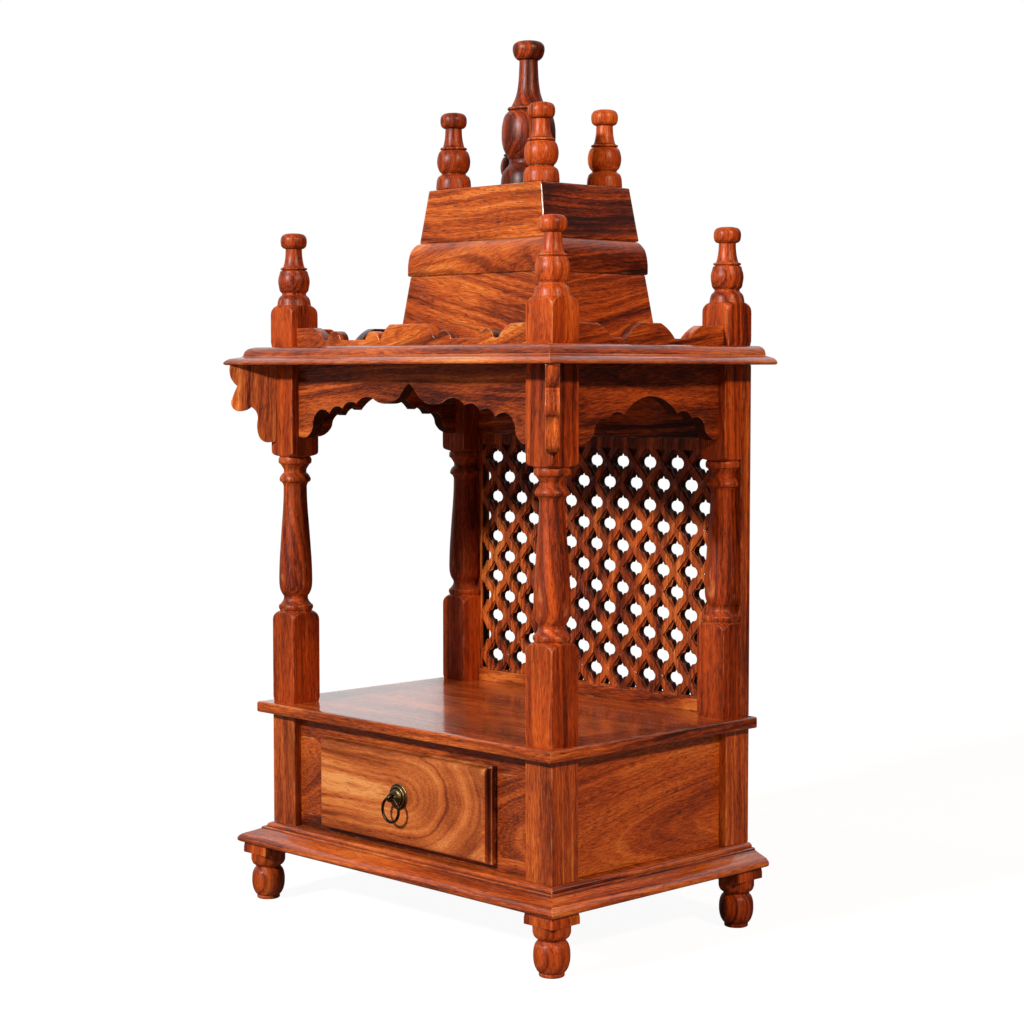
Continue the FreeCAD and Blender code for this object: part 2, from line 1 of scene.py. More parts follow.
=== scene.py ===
# %% [markdown]
# # A small wooden shrine for the home
# The object is a pooja mandir of sheesham, the Indian rosewood, stained and lacquered:
# moulded boards, turned posts, fretted aprons, a pierced back, and one drawer with a
# ring pull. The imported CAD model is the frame. Each wooden piece is rebuilt here with
# eased edges, and each carries its own place in the log that it was sawn from, so that
# the grain runs through it as through real wood. Lengths are in millimetres until the
# mesh is made.

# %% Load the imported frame
import json
import math

import bpy
import numpy as np
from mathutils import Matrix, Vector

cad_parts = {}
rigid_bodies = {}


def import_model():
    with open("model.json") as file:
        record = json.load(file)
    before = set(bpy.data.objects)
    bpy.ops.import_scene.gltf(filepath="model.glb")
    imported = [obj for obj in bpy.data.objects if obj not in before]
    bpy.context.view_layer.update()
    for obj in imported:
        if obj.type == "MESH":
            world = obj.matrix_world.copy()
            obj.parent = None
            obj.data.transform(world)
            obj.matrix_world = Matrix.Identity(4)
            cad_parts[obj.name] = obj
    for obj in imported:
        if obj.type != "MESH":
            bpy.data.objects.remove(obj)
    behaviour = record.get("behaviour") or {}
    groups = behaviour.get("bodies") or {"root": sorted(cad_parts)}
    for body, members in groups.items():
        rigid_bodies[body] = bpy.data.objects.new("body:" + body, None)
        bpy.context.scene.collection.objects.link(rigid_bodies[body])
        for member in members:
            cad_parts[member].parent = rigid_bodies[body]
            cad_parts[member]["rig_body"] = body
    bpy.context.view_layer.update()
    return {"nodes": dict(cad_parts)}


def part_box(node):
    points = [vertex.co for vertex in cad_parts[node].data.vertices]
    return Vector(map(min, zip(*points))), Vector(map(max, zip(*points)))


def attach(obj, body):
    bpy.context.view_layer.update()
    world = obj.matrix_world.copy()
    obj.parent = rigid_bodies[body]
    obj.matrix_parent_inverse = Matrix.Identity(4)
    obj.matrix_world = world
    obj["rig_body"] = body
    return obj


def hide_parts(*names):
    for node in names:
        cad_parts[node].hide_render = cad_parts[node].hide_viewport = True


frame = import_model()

# %% [markdown]
# ## The camera
# The photograph was taken from the front right corner, a little above the roof's
# height and looking slightly down. The place and the lens come from the corners of the
# plinth, the shelf and the roof, whose sizes are known.

# %% The camera
CAMERA_PLACE = (1.6353, -1.5621, 0.5651)
SENSOR_MM, LENS_MM = 36.0, 76.3
DEGREES_DOWN, DEGREES_ROUND = 3.60, 45.80
camera = bpy.data.objects.new("camera", bpy.data.cameras.new("camera"))
camera.data.sensor_width = SENSOR_MM
camera.data.lens = LENS_MM
camera.location = CAMERA_PLACE
camera.rotation_euler = (math.radians(90 - DEGREES_DOWN), 0, math.radians(DEGREES_ROUND))
bpy.context.scene.collection.objects.link(camera)
bpy.context.scene.camera = camera
bpy.context.scene.view_settings.view_transform = "Standard"
print("camera", tuple(camera.location), camera.data.lens, "mm")

# %% [markdown]
# ## Small tools for nodes and colours
# A colour is written as the sRGB hex value that a colour picker shows, and one function
# turns it to the linear value that the renderer works with. One more adds a node, sets
# its properties and joins its sockets. Three short ones stand for the nodes used most: a
# step of arithmetic, a range turned into another, and a blend of two colours.

# %% Colours and nodes
def linear(hex_colour):
    """The sRGB curve undone: a straight part near black, and a power of 2.4 above it."""
    value = np.array([int(hex_colour[i:i + 2], 16) for i in (1, 3, 5)]) / 255
    low = value / 12.92
    high = ((value + 0.055) / 1.055) ** 2.4
    return (*np.where(value <= 0.04045, low, high), 1.0)


def add_node(tree, kind, inputs=None, out=0, **settings):
    """Adds a node. An input is a value or another node's output; out picks what returns."""
    made = tree.nodes.new("ShaderNode" + kind)
    for name, value in settings.items():
        setattr(made, name, value)
    for name, value in (inputs or {}).items():
        if isinstance(value, bpy.types.NodeSocket):
            tree.links.new(value, made.inputs[name])
        else:
            made.inputs[name].default_value = value
    return made.outputs[out] if len(made.outputs) else made


def maths(tree, operation, *values, kind="Math", out=0):
    """One step of arithmetic on numbers, or on vectors where kind is VectorMath."""
    return add_node(tree, kind, dict(enumerate(values)), out, operation=operation)


def ranged(tree, value, low, high, first=0.0, last=1.0, **settings):
    """The value's way from low to high as first to last, held at both ends."""
    return add_node(tree, "MapRange", {"Value": value, "From Min": low, "From Max": high,
                                       "To Min": first, "To Max": last}, **settings)


def blend(tree, share, *colours):
    """From the first colour to the second by the share. A colour is hex or an output."""
    first, second = (linear(c) if isinstance(c, str) else c for c in colours)
    return add_node(tree, "Mix", {0: share, 6: first, 7: second}, 2, data_type="RGBA")

def blank_material(name):
    made = bpy.data.materials.new(name)
    made.use_nodes = True
    made.node_tree.nodes.clear()
    return made, made.node_tree


print("linear of #B45023:", [round(float(v), 3) for v in linear("#B45023")])

# %% [markdown]
# ## Floor, background and lamps
# The photograph has a white background and no floor line. The floor is a pale disc whose
# white is mostly a plain glow for the camera, and the rest of it is a lit surface that
# keeps the object's shadow. A white floor would fill the undersides with light and
# mirror in every upright face, and the photograph shows both dark, so the floor is dim
# in gloss and grey for bounced light. In gloss the room behind the object has a white
# card on the left, which the shelf mirrors, and a white cloth overhead, which the roof
# mirrors. The camera's side is dim, so the lacquer keeps its depth there.
# Two lamps light the object: a stronger one square to the front, and a warmer one nearly
# square to the right side, both about 25 degrees up. They show as two small highlights on
# each foot and bulb.

# %% Floor and room
FLOOR_POINTS = 96
FLOOR_DROP = 0.0002


def looks(tree, *names):
    """One for the named kinds of ray, and zero for the others."""
    path = tree.nodes.new("ShaderNodeLightPath")
    seen = 0.0
    for name in names:
        seen = maths(tree, "MAXIMUM", seen, path.outputs["Is " + name + " Ray"])
    return seen


def build_floor(radius=9.0):
    """A flat disc: a circle of points just under the object's feet."""
    turn = np.linspace(0, 2 * np.pi, FLOOR_POINTS, endpoint=False)
    rim = np.stack([radius * np.cos(turn), radius * np.sin(turn), turn * 0 - FLOOR_DROP], 1)
    mesh = bpy.data.meshes.new("floor")
    mesh.from_pydata(rim.tolist(), [], [list(range(FLOOR_POINTS))])
    made, tree = blank_material("pale_floor")
    seen = looks(tree, "Camera", "Transmission")
    gloss = looks(tree, "Glossy")
    matt = add_node(tree, "BsdfDiffuse", {"Color": blend(tree, seen, "#A19E9A", "#F2F1EF")})
    # Away from the object the lamps fade, and the glow makes up for it
    place = add_node(tree, "TexCoord", out="Object")
    away = maths(tree, "LENGTH", place, kind="VectorMath", out="Value")
    bright = ranged(tree, away, 0.8, 3.0, 1.1, 1.17)
    power = add_node(tree, "Mix", {0: gloss, 2: bright, 3: 0.06}, data_type="FLOAT")
    glow = add_node(tree, "Emission", {"Color": linear("#FFFFFF"), "Strength": power})
    share = maths(tree, "MULTIPLY", maths(tree, "MAXIMUM", seen, gloss), 0.86)
    both = add_node(tree, "MixShader", {0: share, 1: matt, 2: glow})
    add_node(tree, "OutputMaterial", {"Surface": both})
    mesh.materials.append(made)
    floor = bpy.data.objects.new("floor", mesh)
    bpy.context.scene.collection.objects.link(floor)


build_floor()

ROOM_LIGHT = 0.033
ROOM_GLOSS_FRONT = 0.02
world = bpy.data.worlds.new("studio")
bpy.context.scene.world = world
world.use_nodes = True
room = world.node_tree
room.nodes.clear()
ways = add_node(room, "TexCoord", out="Generated")


def room_share(way, dark, bright):
    """Zero to one, by how far a ray goes along the given way."""
    share = maths(room, "DOT_PRODUCT", ways, way, kind="VectorMath", out="Value")
    return ranged(room, share, dark, bright)


# Behind the object, away from the camera: minus X and plus Y. There a white card stands
# on the left, and a wide white cloth hangs over it.
behind = room_share((-0.70, 0.71, 0.25), 0.05, 0.6)
card = room_share((-0.697, -0.717, 0), 0.026, 0.034)
cloth = room_share((0, 0, 1), 0.18, 0.42)
white = maths(room, "MULTIPLY", behind, maths(room, "MAXIMUM", card, cloth))
in_gloss = maths(room, "MAXIMUM", white, ROOM_GLOSS_FRONT)
strength = add_node(room, "Mix", {0: looks(room, "Glossy"), 2: ROOM_LIGHT, 3: in_gloss},
                    data_type="FLOAT")
strength = add_node(room, "Mix", {0: looks(room, "Camera", "Transmission"), 2: strength, 3: 1.0},
                    data_type="FLOAT")
sky = add_node(room, "Background", {"Color": linear("#FFFFFF"), "Strength": strength})
add_node(room, "OutputWorld", {"Surface": sky})

LAMP_AWAY, LAMP_WIDE, LAMP_AIM = 3.2, 0.26, 0.45


def add_lamp(name, azimuth, height, watts, colour="#FFFFFF"):
    """A round lamp. Azimuth 0 is square to the front and 90 square to the right side."""
    data = bpy.data.lights.new(name, "AREA")
    data.shape = "DISK"
    data.size = LAMP_WIDE
    data.energy = watts
    data.color = linear(colour)[:3]
    lamp = bpy.data.objects.new(name, data)
    a, e = math.radians(azimuth), math.radians(height)
    way = np.array([math.sin(a) * math.cos(e), -math.cos(a) * math.cos(e), math.sin(e)])
    lamp.location = way * LAMP_AWAY + np.array([0, 0, LAMP_AIM])
    lamp.rotation_euler = (math.radians(90) - e, 0, a)
    bpy.context.scene.collection.objects.link(lamp)


add_lamp("lamp_front", -4, 24.5, 118)
add_lamp("lamp_side", 80, 28.0, 74, "#FFDDB6")
print("floor, room and two lamps")

# %% [markdown]
# ## Lines
# Every moulding, turning and fretted edge starts as a line in the plane. A step of the
# line is a point, reached straight, or a list of points: two make an arc of a circle and
# more make one smooth curve. The line is then rubbed down a little, as sandpaper and
# lacquer do, and its points are spent where it bends.

# %% Lines: arcs, curves and easing
def arc(a, b, c, spacing):
    """Points of the circle through a, b and c. Its centre is as far from all three."""
    a, b, c = (np.array(p, float) for p in (a, b, c))
    rows = np.array([b - a, c - a])
    if abs(np.linalg.det(rows)) < 1e-6:
        return np.array([a, c])
    centre = np.linalg.solve(rows, [(b @ b - a @ a) / 2, (c @ c - a @ a) / 2])
    turns = np.linalg.det(np.array([b - a, c - b])) > 0
    begin, end = (math.atan2(*(p - centre)[::-1]) for p in (a, c))
    sweep = (end - begin) % (2 * np.pi) if turns else -((begin - end) % (2 * np.pi))
    radius = np.linalg.norm(a - centre)
    count = max(3, int(abs(sweep) * radius / spacing) + 1)
    angle = begin + np.linspace(0, sweep, count)
    return centre + radius * np.stack([np.cos(angle), np.sin(angle)], 1)


def curve(points, spacing):
    """A smooth line through the points: between two of them a cubic, whose slopes at its
    ends come from the neighbours on each side."""
    points = np.array(points, float)
    gaps = np.linalg.norm(np.diff(points, axis=0), axis=1)
    knots = np.concatenate([[0], np.cumsum(gaps)])
    slopes = np.gradient(points, knots, axis=0)
    at = np.linspace(0, knots[-1], max(2, int(knots[-1] / spacing) + 1))
    k = np.clip(np.searchsorted(knots, at, side="right") - 1, 0, len(gaps) - 1)
    h = gaps[k][:, None]
    u = (at - knots[k])[:, None] / h
    return ((2 * u ** 3 - 3 * u ** 2 + 1) * points[k] + (u ** 3 - 2 * u ** 2 + u) * h * slopes[k]
            + (3 * u ** 2 - 2 * u ** 3) * points[k + 1] + (u ** 3 - u ** 2) * h * slopes[k + 1])


def trace(start, steps, spacing=0.3):
    """The whole line, with a point about every spacing."""
    line = [np.array([start], float)]
    here = start
    for step in steps:
        if isinstance(step, list) and len(step) == 2:
            part = arc(here, *step, spacing)
        elif isinstance(step, list):
            part = curve([here] + step, spacing)
        else:
            count = max(2, int(math.dist(here, step) / spacing) + 1)
            part = np.linspace(here, step, count)
        here = step[-1] if isinstance(step, list) else step
        line.append(part[1:])
    return np.concatenate(line)


def along(line):
    """The length of the line up to each of its points."""
    return np.concatenate([[0], np.cumsum(np.linalg.norm(np.diff(line, axis=0), axis=1))])


def resample(line, at, places):
    return np.stack([np.interp(places, at, line[:, i]) for i in range(line.shape[1])], 1)


def ease(line, rub=1.0, bend=9.0, gap=5.0):
    """Rubs the line down to corners of about the rub radius, and returns its points with
    the bend of each: plus one on a worn outer corner, minus one in a groove. Points are
    spent by turn and by length: one for each bend in degrees, and one for each gap."""
    step = 0.3
    length = along(line)
    line = resample(line, length, np.linspace(0, length[-1], int(length[-1] / step) + 2))
    for _ in range(int((rub / step) ** 2)):
        line[1:-1] = (line[:-2] + 2 * line[1:-1] + line[2:]) / 4
    way = np.diff(line, axis=0)
    turn = np.diff(np.unwrap(np.arctan2(way[:, 1], way[:, 0])))
    turn = np.concatenate([[0], turn, [0]])
    length = along(line)
    worn = np.clip(turn / step * 1.1, -1, 1)
    spent = np.concatenate([[0], np.cumsum(np.degrees(np.abs(turn[1:])) / bend
                                           + np.diff(length) / gap)])
    places = np.linspace(0, spent[-1], int(spent[-1]) + 2)
    return resample(line, spent, places), np.interp(places, spent, worn)


def mirrored(start, steps):
    """A right half added to a line whose left half ends where its first number is zero."""
    ends = [start] + [step[-1] if isinstance(step, list) else step for step in steps]
    back = []
    for step, end in zip(reversed(steps), reversed(ends[:-1])):
        to = (-end[0], end[1])
        flipped = [(-x, z) for x, z in reversed(step[:-1])] if isinstance(step, list) else None
        back.append(flipped + [to] if flipped else to)
    return list(steps) + back


sample_line, sample_bend = ease(trace((0, 0), [(20, 0), (20, 20)]))
print("a square corner takes", len(sample_line), "points, bend up to", sample_bend.max())

# %% [markdown]
# ## From lines to pieces
# A piece is a mesh in the frame's metres. Each vertex also carries where it was in the
# log, in millimetres: across, across, and along the grain. The rings of the log are then
# circles round that third axis, and a board shows them as stripes or as arches, by how
# it was sawn. Where boards meet at a corner, each side has a place in a log of its own.
# Each vertex carries its wear; below zero the same number paints shade into grooves and recesses.
# Each side has a tone, lighter or darker, and a figure, which is how strongly its rings and
# streaks show. The tone of the faces that look left or right is partly the board's own and partly
# painted light and shade.

# %% The log, and the mesh of a piece
DEGREE = math.pi / 180


def from_log(grain, pith, lean=(0.0, 0.0), shift=0.0, figure=1.0):
    """A place in a log. The pith is the log's axis: its distance from the piece's middle in
    the two directions across the grain. Lean tilts the axis, so that the rings run out on a
    face as arches, and shift is how far up the trunk the piece was."""
    return {"place": (grain, pith, lean, shift), "figure": figure}


def log_place(points, grain, pith, lean, shift):
    """Where the points were in the log: across, across, and along."""
    a, b, c = {"x": (1, 2, 0), "y": (0, 2, 1), "z": (0, 1, 2)}[grain]
    near = points - (points.min(0) + points.max(0)) / 2
    run = near[:, c]
    across = near[:, a] - pith[0] - lean[0] * run
    up = near[:, b] - pith[1] - lean[1] * run
    return np.stack([across, up, run + shift], 1)


materials = {}


def add_piece(node, points, faces, log, bend, tone=0.0, slot="board_wood", suffix="_wood"):
    """Makes the mesh, hangs it on the node's body and lets it stand for the node. Where two logs
    or two tones are given, the second is for the faces that look left or right. A second tone is
    partly that side's own board and partly painted light and shade: it makes those faces lighter
    or darker for how the lamps fall on them."""
    mesh = bpy.data.meshes.new(node + suffix)
    mesh.from_pydata((points / 1000).tolist(), [], faces)
    mesh.update()
    corner = np.zeros(len(mesh.loops), np.int32)
    mesh.loops.foreach_get("vertex_index", corner)
    sizes = np.zeros(len(mesh.polygons), np.int32)
    mesh.polygons.foreach_get("loop_total", sizes)
    normal = np.zeros(len(mesh.polygons) * 3, np.float32)
    mesh.polygons.foreach_get("normal", normal)
    normal = np.abs(normal.reshape(-1, 3))
    aside = np.repeat(normal[:, 0] > np.maximum(normal[:, 1], 0.08), sizes)
    logs = log if isinstance(log, tuple) else (log, log)
    tones = tone if isinstance(tone, tuple) else (tone, tone)
    places = [log_place(points, *one["place"])[corner] for one in logs]
    for name, kind, domain, key, values in (
            ("grain", "FLOAT_VECTOR", "CORNER", "vector", np.where(aside[:, None], *places[::-1])),
            ("tone", "FLOAT", "CORNER", "value", np.where(aside, *tones[::-1])),
            ("figure", "FLOAT", "CORNER", "value",
             np.where(aside, *(one["figure"] for one in logs[::-1]))),
            ("wear_and_shade", "FLOAT", "POINT", "value", np.broadcast_to(bend, len(points)))):
        made = mesh.attributes.new(name, kind, domain)
        made.data.foreach_set(key, values.astype(np.float32).ravel())
    mesh.shade_smooth()
    mesh.set_sharp_from_angle(angle=50 * DEGREE)
    mesh.materials.append(materials[slot])
    piece = bpy.data.objects.new(node + suffix, mesh)
    bpy.context.scene.collection.objects.link(piece)
    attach(piece, frame["nodes"][node]["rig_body"])
    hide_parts(node)


def grid_quads(rows, columns):
    """The quads of a grid whose columns close on themselves, turned outwards."""
    r, c = np.meshgrid(np.arange(rows - 1), np.arange(columns), indexing="ij")
    n = (c + 1) % columns
    return np.stack([r * columns + c, r * columns + n, (r + 1) * columns + n,
                     (r + 1) * columns + c], -1).reshape(-1, 4)


def tube_faces(rows, columns, flip=False):
    """A grid's quads and the two flat ends that close it."""
    low = list(range(columns))
    high = [i + (rows - 1) * columns for i in low]
    quads = grid_quads(rows, columns)
    if flip:
        return quads[:, ::-1].tolist() + [low, high[::-1]]
    return quads.tolist() + [low[::-1], high]


def node_box(node):
    """A CAD node's box in millimetres: x0, x1, y0, y1, z0, z1."""
    low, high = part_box(node)
    return [float(v) * 1000 for v in (low.x, high.x, low.y, high.y, low.z, high.z)]


def quarter_turn(points, degrees, at):
    """Points turned about the Z axis and moved."""
    c, s = math.cos(degrees * DEGREE), math.sin(degrees * DEGREE)
    turned = np.stack([c * points[:, 0] - s * points[:, 1], s * points[:, 0] + c * points[:, 1],
                       points[:, 2]], 1)
    return turned + np.array(at)


print("10 mm above the pith:", log_place(np.eye(3) * 10, "x", (0, 0), (0, 0), 0)[0])

# %% [markdown]
# ## Stained and lacquered sheesham
# Sheesham is a hard, open-pored wood: honey to dark brown heartwood in uneven bands,
# with dark streaks, and pores that show as short dark dashes along the grain. A reddish
# stain and a glossy lacquer lie over it. The eye gets bands that wander and cross a
# board in long arches, fine dashes, and a clear coat that mirrors pale backgrounds at a
# flat angle. The bands are distance from the pith, bent by slow noise, so they are right
# on every face of a solid piece. The wood is a plain dielectric under a coat, IOR 1.5.

# %% The wood's nodes
def sheesham(slot, colours, streak="#210803", gloss=0.12, coat=1.0, bands=5.0, wander=7.0,
             wave=1.3, contrast=1.0, streaks=1.0, lines=0.5, matt=0.5, pores=0.7, bow=None):
    """bands is the width of a growth ring, wander and wave how far slow and short noise
    push the rings, all in millimetres. bow is where the log starts to bend and how much."""
    made, tree = blank_material("lacquered_sheesham_" + slot)

    def add(kind, inputs=None, out=0, **settings):
        return add_node(tree, kind, inputs, out, **settings)

    def vector(operation, *values, out=0):
        return maths(tree, operation, *values, kind="VectorMath", out=out)

    def sum_of(a, b):
        return maths(tree, "ADD", a, b)

    def times(a, b):
        return maths(tree, "MULTIPLY", a, b)

    def noise(place, size, detail=2.0, rough=0.5, out="Fac"):
        """Noise whose features are size millimetres: across, across, along."""
        return add("TexNoise", {"Vector": vector("MULTIPLY", place, tuple(1 / s for s in size)),
                                "Scale": 1.0, "Detail": detail, "Roughness": rough}, out)

    def push(place, size, by):
        shove = vector("SUBTRACT", noise(place, size, 1.0, out="Color"), (0.5, 0.5, 0.5))
        return vector("ADD", place, vector("MULTIPLY", shove, (by, by, 0)))

    def step_up(value, low, high, to=1.0):
        return ranged(tree, value, low, high, last=to, interpolation_type="SMOOTHSTEP")

    grain = add("Attribute", out="Vector", attribute_name="grain")
    wear_and_shade, tone, figure = (add("Attribute", out="Fac", attribute_name=name)
                          for name in ("wear_and_shade", "tone", "figure"))
    if bow:
        past = sum_of(add("SeparateXYZ", {0: grain}, "Z"), -bow[0])
        past = maths(tree, "SMOOTH_MAX", past, 0.0, 40.0)
        grain = vector("ADD", grain, add("CombineXYZ", {0: times(past, -bow[1])}))

    # Slow wandering of the trunk, then the short waves of its fibres
    bent = push(push(grain, (70, 70, 230), wander * 2), (17, 17, 38), wave * 2)
    ring = vector("LENGTH", vector("MULTIPLY", bent, (1, 1, 0)), out="Value")
    run = add("SeparateXYZ", {0: bent}, "Z")

    def rings(width, length, seed, detail, rough):
        """Noise along the rings: width across them, length along the trunk."""
        place = add("CombineXYZ", {0: ring, 1: run, 2: seed})
        return noise(place, (width, length, 1), detail, rough)

    # Growth rings, broad patches of heartwood, and fine fibres
    fibre = noise(bent, (1.2, 1.2, 16), 3.0, 0.7)
    level = times(sum_of(rings(bands, 420.0, 0.0, 3.0, 0.62), -0.5), 1.5 * contrast)
    patch = times(sum_of(noise(grain, (48, 48, 190)), -0.5), 1.15 * contrast)
    level = sum_of(times(sum_of(level, patch), figure), sum_of(fibre, tone))
    ramp = tree.nodes.new("ShaderNodeValToRGB")
    stops = ramp.color_ramp.elements
    for place, colour in zip(np.linspace(0.04, 0.96, len(colours)), colours):
        stop = stops[0] if place < 0.05 else stops.new(place)
        stop.position, stop.color = place, linear(colour)
    stops.remove(stops[len(stops) - 1])
    stops[len(stops) - 1].color = linear(colours[-1])
    tree.links.new(level, ramp.inputs[0])

    # Thin dark lines, then nearly black heartwood streaks. Both keep to the rings. Then
    # pores, which are about 0.2 mm wide on real sheesham and are drawn four times as wide,
    # so that they show at all.
    thin = step_up(rings(bands * 0.42, 260.0, 3.1, 2.0, 0.5), 0.54, 0.68, lines)
    dark = sum_of(rings(bands * 1.9, 240.0, 7.3, 4.0, 0.55), times(tone, -0.10))
    dark = times(step_up(dark, 0.57, 0.74, 0.86 * streaks), figure)
    pore = step_up(noise(bent, (0.85, 0.85, 9), 1.0), 0.60, 0.69, pores)
    # Grooves and recesses are painted darker: painted shade where mouldings, turnings and the
    # lattice lie in shade. The lacquer rubs pale on the edges. Edges that the fret saw left rough
    # are dark and matt, partly from their own rough end grain, which drinks the stain, and partly
    # from painted shade, as they face down or lie inside the lattice.
    painted_groove_shade = step_up(wear_and_shade, -0.05, -0.75, 0.62)
    rubbed = step_up(noise(grain, (5, 5, 16), 3.0), 0.46, 0.70, 0.6)
    rubbed = times(step_up(wear_and_shade, 0.25, 1.0), rubbed)
    # Far below zero: the sawn edges, dark and matt, partly their own end grain and partly painted
    # shade.
    sawn = step_up(wear_and_shade, -1.2, -1.9)
    colour = ramp.outputs[0]
    for share, over in ((thin, "#5A1E08"), (dark, streak), (pore, "#3A1105"), (painted_groove_shade, "#150502"),
                        (rubbed, "#CC8450"), (times(sawn, 0.8), "#34170C")):
        colour = blend(tree, share, colour, over)

    height = sum_of(times(fibre, 0.35), times(pore, -0.9))
    bump = add("Bump", {"Height": height, "Distance": 0.00005, "Strength": 1.0})
    coat_bump = add("Bump", {"Height": noise(grain, (9, 9, 14)), "Distance": 0.00012,
                             "Strength": 0.6, "Normal": bump})
    surface = add("BsdfPrincipled", {
        "Base Color": colour, "Roughness": sum_of(times(sawn, 0.3), matt), "IOR": 1.5,
        "Normal": bump, "Specular IOR Level": 0.1, "Coat Roughness": gloss, "Coat IOR": 1.5,
        "Coat Weight": times(sum_of(times(sawn, -0.9), 1.0), coat), "Coat Normal": coat_bump})
    add("OutputMaterial", {"Surface": surface})
    materials[slot] = made


STAINED = ["#270C05", "#551B09", "#883612", "#B04D1A", "#CA6927", "#DA8644"]
sheesham("board_wood", STAINED)
sheesham("turned_wood", ["#280C06", "#5A1B09", "#94370F", "#B84C17", "#CB6826"], bands=4.0,
         gloss=0.34, coat=0.28)
sheesham("fretted_wood", STAINED, bands=6.0, gloss=0.2, coat=0.8)
sheesham("drawer_face_wood", ["#6E2A10", "#9A481D", "#B75E2A", "#C97338", "#D88D50"], bands=7.0,
         wander=6.0, wave=1.7, contrast=1.15, streaks=0.45, lines=0.4, pores=0.5, gloss=0.32,
         coat=0.4, bow=(14.0, 0.5))
sheesham("drawer_box_wood", ["#8A5A34", "#A9744A", "#BF8C5E", "#CC9C70"], streak="#6A4020",
         streaks=0.3, lines=0.2, coat=0.0, matt=0.6)
print("wood materials:", sorted(materials))

# %% [markdown]
# ## Boards and square posts
# A planed board is a line carried round a rectangle: the line starts under the board,
# comes round its edge and ends on top of it. A plain board's line is straight with eased
# corners, and a moulded board's line is the cutter's profile. Sides without a moulding
# keep the plain line.

# %% A board from its edge line
def rectangle_rings(x0, x1, y0, y1, corner, spare=2.6):
    """Rings round rectangles with rounded corners, one for each row of the four arrays.
    Each corner is a quarter circle, with one more point on the flat at each side of it."""
    xs, ys, worn = [], [], []
    for first, at_x, at_y in ((-90, x1, y0), (0, x1, y1), (90, x0, y1), (180, x0, y0)):
        sx, sy = (1 if at_x is x1 else -1), (1 if at_y is y1 else -1)
        turn = (first + np.array([0, 0, 30, 60, 90, 90])) * DEGREE
        back = np.array([-1, 0, 0, 0, 0, 1]) * spare / corner
        ring_x = np.cos(turn) - back * np.sin(turn)
        ring_y = np.sin(turn) + back * np.cos(turn)
        xs.append(at_x[:, None] - sx * corner + corner * ring_x)
        ys.append(at_y[:, None] - sy * corner + corner * ring_y)
        worn += [0, 0.5, 1, 1, 0.5, 0]
    return np.concatenate(xs, 1), np.concatenate(ys, 1), np.array(worn, float)


def plain_inset(height, thick, r):
    """How far an eased edge of radius r draws in at each height of a board."""
    near = np.clip(r - np.minimum(height, thick - height), 0, r)
    return r - np.sqrt(np.maximum(r * r - near * near, 0))


def plain_line(thick, r=0.9):
    """The line of a plain board with its wear: outwards from its side, and up. The wear
    ends a little way past each eased corner."""
    angle = np.array([0, 22.5, 45, 67.5, 90]) * DEGREE
    round_out = np.stack([r * np.sin(angle) - r, r - r * np.cos(angle)], 1)
    fade = min(r + 2.6, thick / 2 - 0.4)
    half = np.concatenate([[(-r - 2.8, 0)], round_out, [(0, fade)]])
    line = np.concatenate([half, half[::-1] * (1, -1) + (0, thick)])
    rub = np.array([0, 0.5, 1, 1, 1, 0.5, 0])
    return line, np.concatenate([rub, rub[::-1]])


def board_points(x0, x1, y0, y1, z0, line, bend, sides="left right front back", corner=1.0,
                 r=0.9, lean=(0, 0)):
    """The line carried round the rectangle. Lean draws the sides in as they rise, by so
    many millimetres for each millimetre."""
    thick = line[-1, 1]
    plain = np.maximum(plain_inset(line[:, 1], thick, r), np.where(
        (line[:, 1] < 1e-6) | (line[:, 1] > thick - 1e-6), np.minimum(-line[:, 0], r + 2.8), 0))
    draw = {side: -line[:, 0] if side in sides.split() else plain
            for side in ("left", "right", "front", "back")}
    up = line[:, 1]
    xs, ys, worn = rectangle_rings(
        x0 + draw["left"] + lean[0] * up, x1 - draw["right"] - lean[0] * up,
        y0 + draw["front"] + lean[1] * up, y1 - draw["back"] - lean[1] * up, corner)
    points = np.stack([xs, ys, np.broadcast_to(z0 + up[:, None], xs.shape)], -1).reshape(-1, 3)
    wear_and_shade = np.where(np.abs(bend)[:, None] > worn[None, :], bend[:, None], worn[None, :])
    wear_and_shade[[0, -1]] = 0
    return points, tube_faces(*xs.shape), wear_and_shade.ravel()


def plain_board(node, log, tone=0.0, slot="board_wood", r=0.9):
    """A board or square post as large as its CAD node, with every edge eased."""
    x0, x1, y0, y1, z0, z1 = node_box(node)
    line, bend = plain_line(z1 - z0, r)
    points, faces, wear_and_shade = board_points(x0, x1, y0, y1, z0, line, bend, r=r, corner=r)
    add_piece(node, points, faces, log, wear_and_shade, tone, slot)


def moulded_board(node, steps, log, tone=0.0, sides="left right front", rub=0.5):
    """A board whose named sides carry a moulding. Its line is given in steps from under the
    edge to on top of it: outwards from the board's side, and up."""
    x0, x1, y0, y1, z0, z1 = node_box(node)
    line, bend = ease(trace(steps[0], steps[1:], 0.15), rub=rub, bend=12, gap=9)
    points, faces, wear_and_shade = board_points(x0, x1, y0, y1, z0, line, bend, sides)
    add_piece(node, points, faces, log, wear_and_shade, tone)


# %% [markdown]
# The frame under the shelf: four square posts, panels set back between them, and rails
# and stiles round the drawer's opening. Posts have upright grain and rails level grain.

# %% Posts, panels and rails of the base
POSTS = {"front_left": 11, "front_right": 23, "back_left": 37, "back_right": 41}
# The front right post's side faces and the whole back right post are lighter by their tones:
# partly their own wood and partly painted light, in place of a stronger side lamp.
POST_TONES = {"front_left": 0.02, "front_right": (-0.04, 0.02), "back_left": -0.08,
              "back_right": 0.08}
for corner_name, seed in POSTS.items():
    plain_board("base_post_" + corner_name, from_log(
        "z", (14 + seed % 9, 22 - seed % 7), (0.03, -0.02), seed * 31.0, 0.65),
        POST_TONES[corner_name])

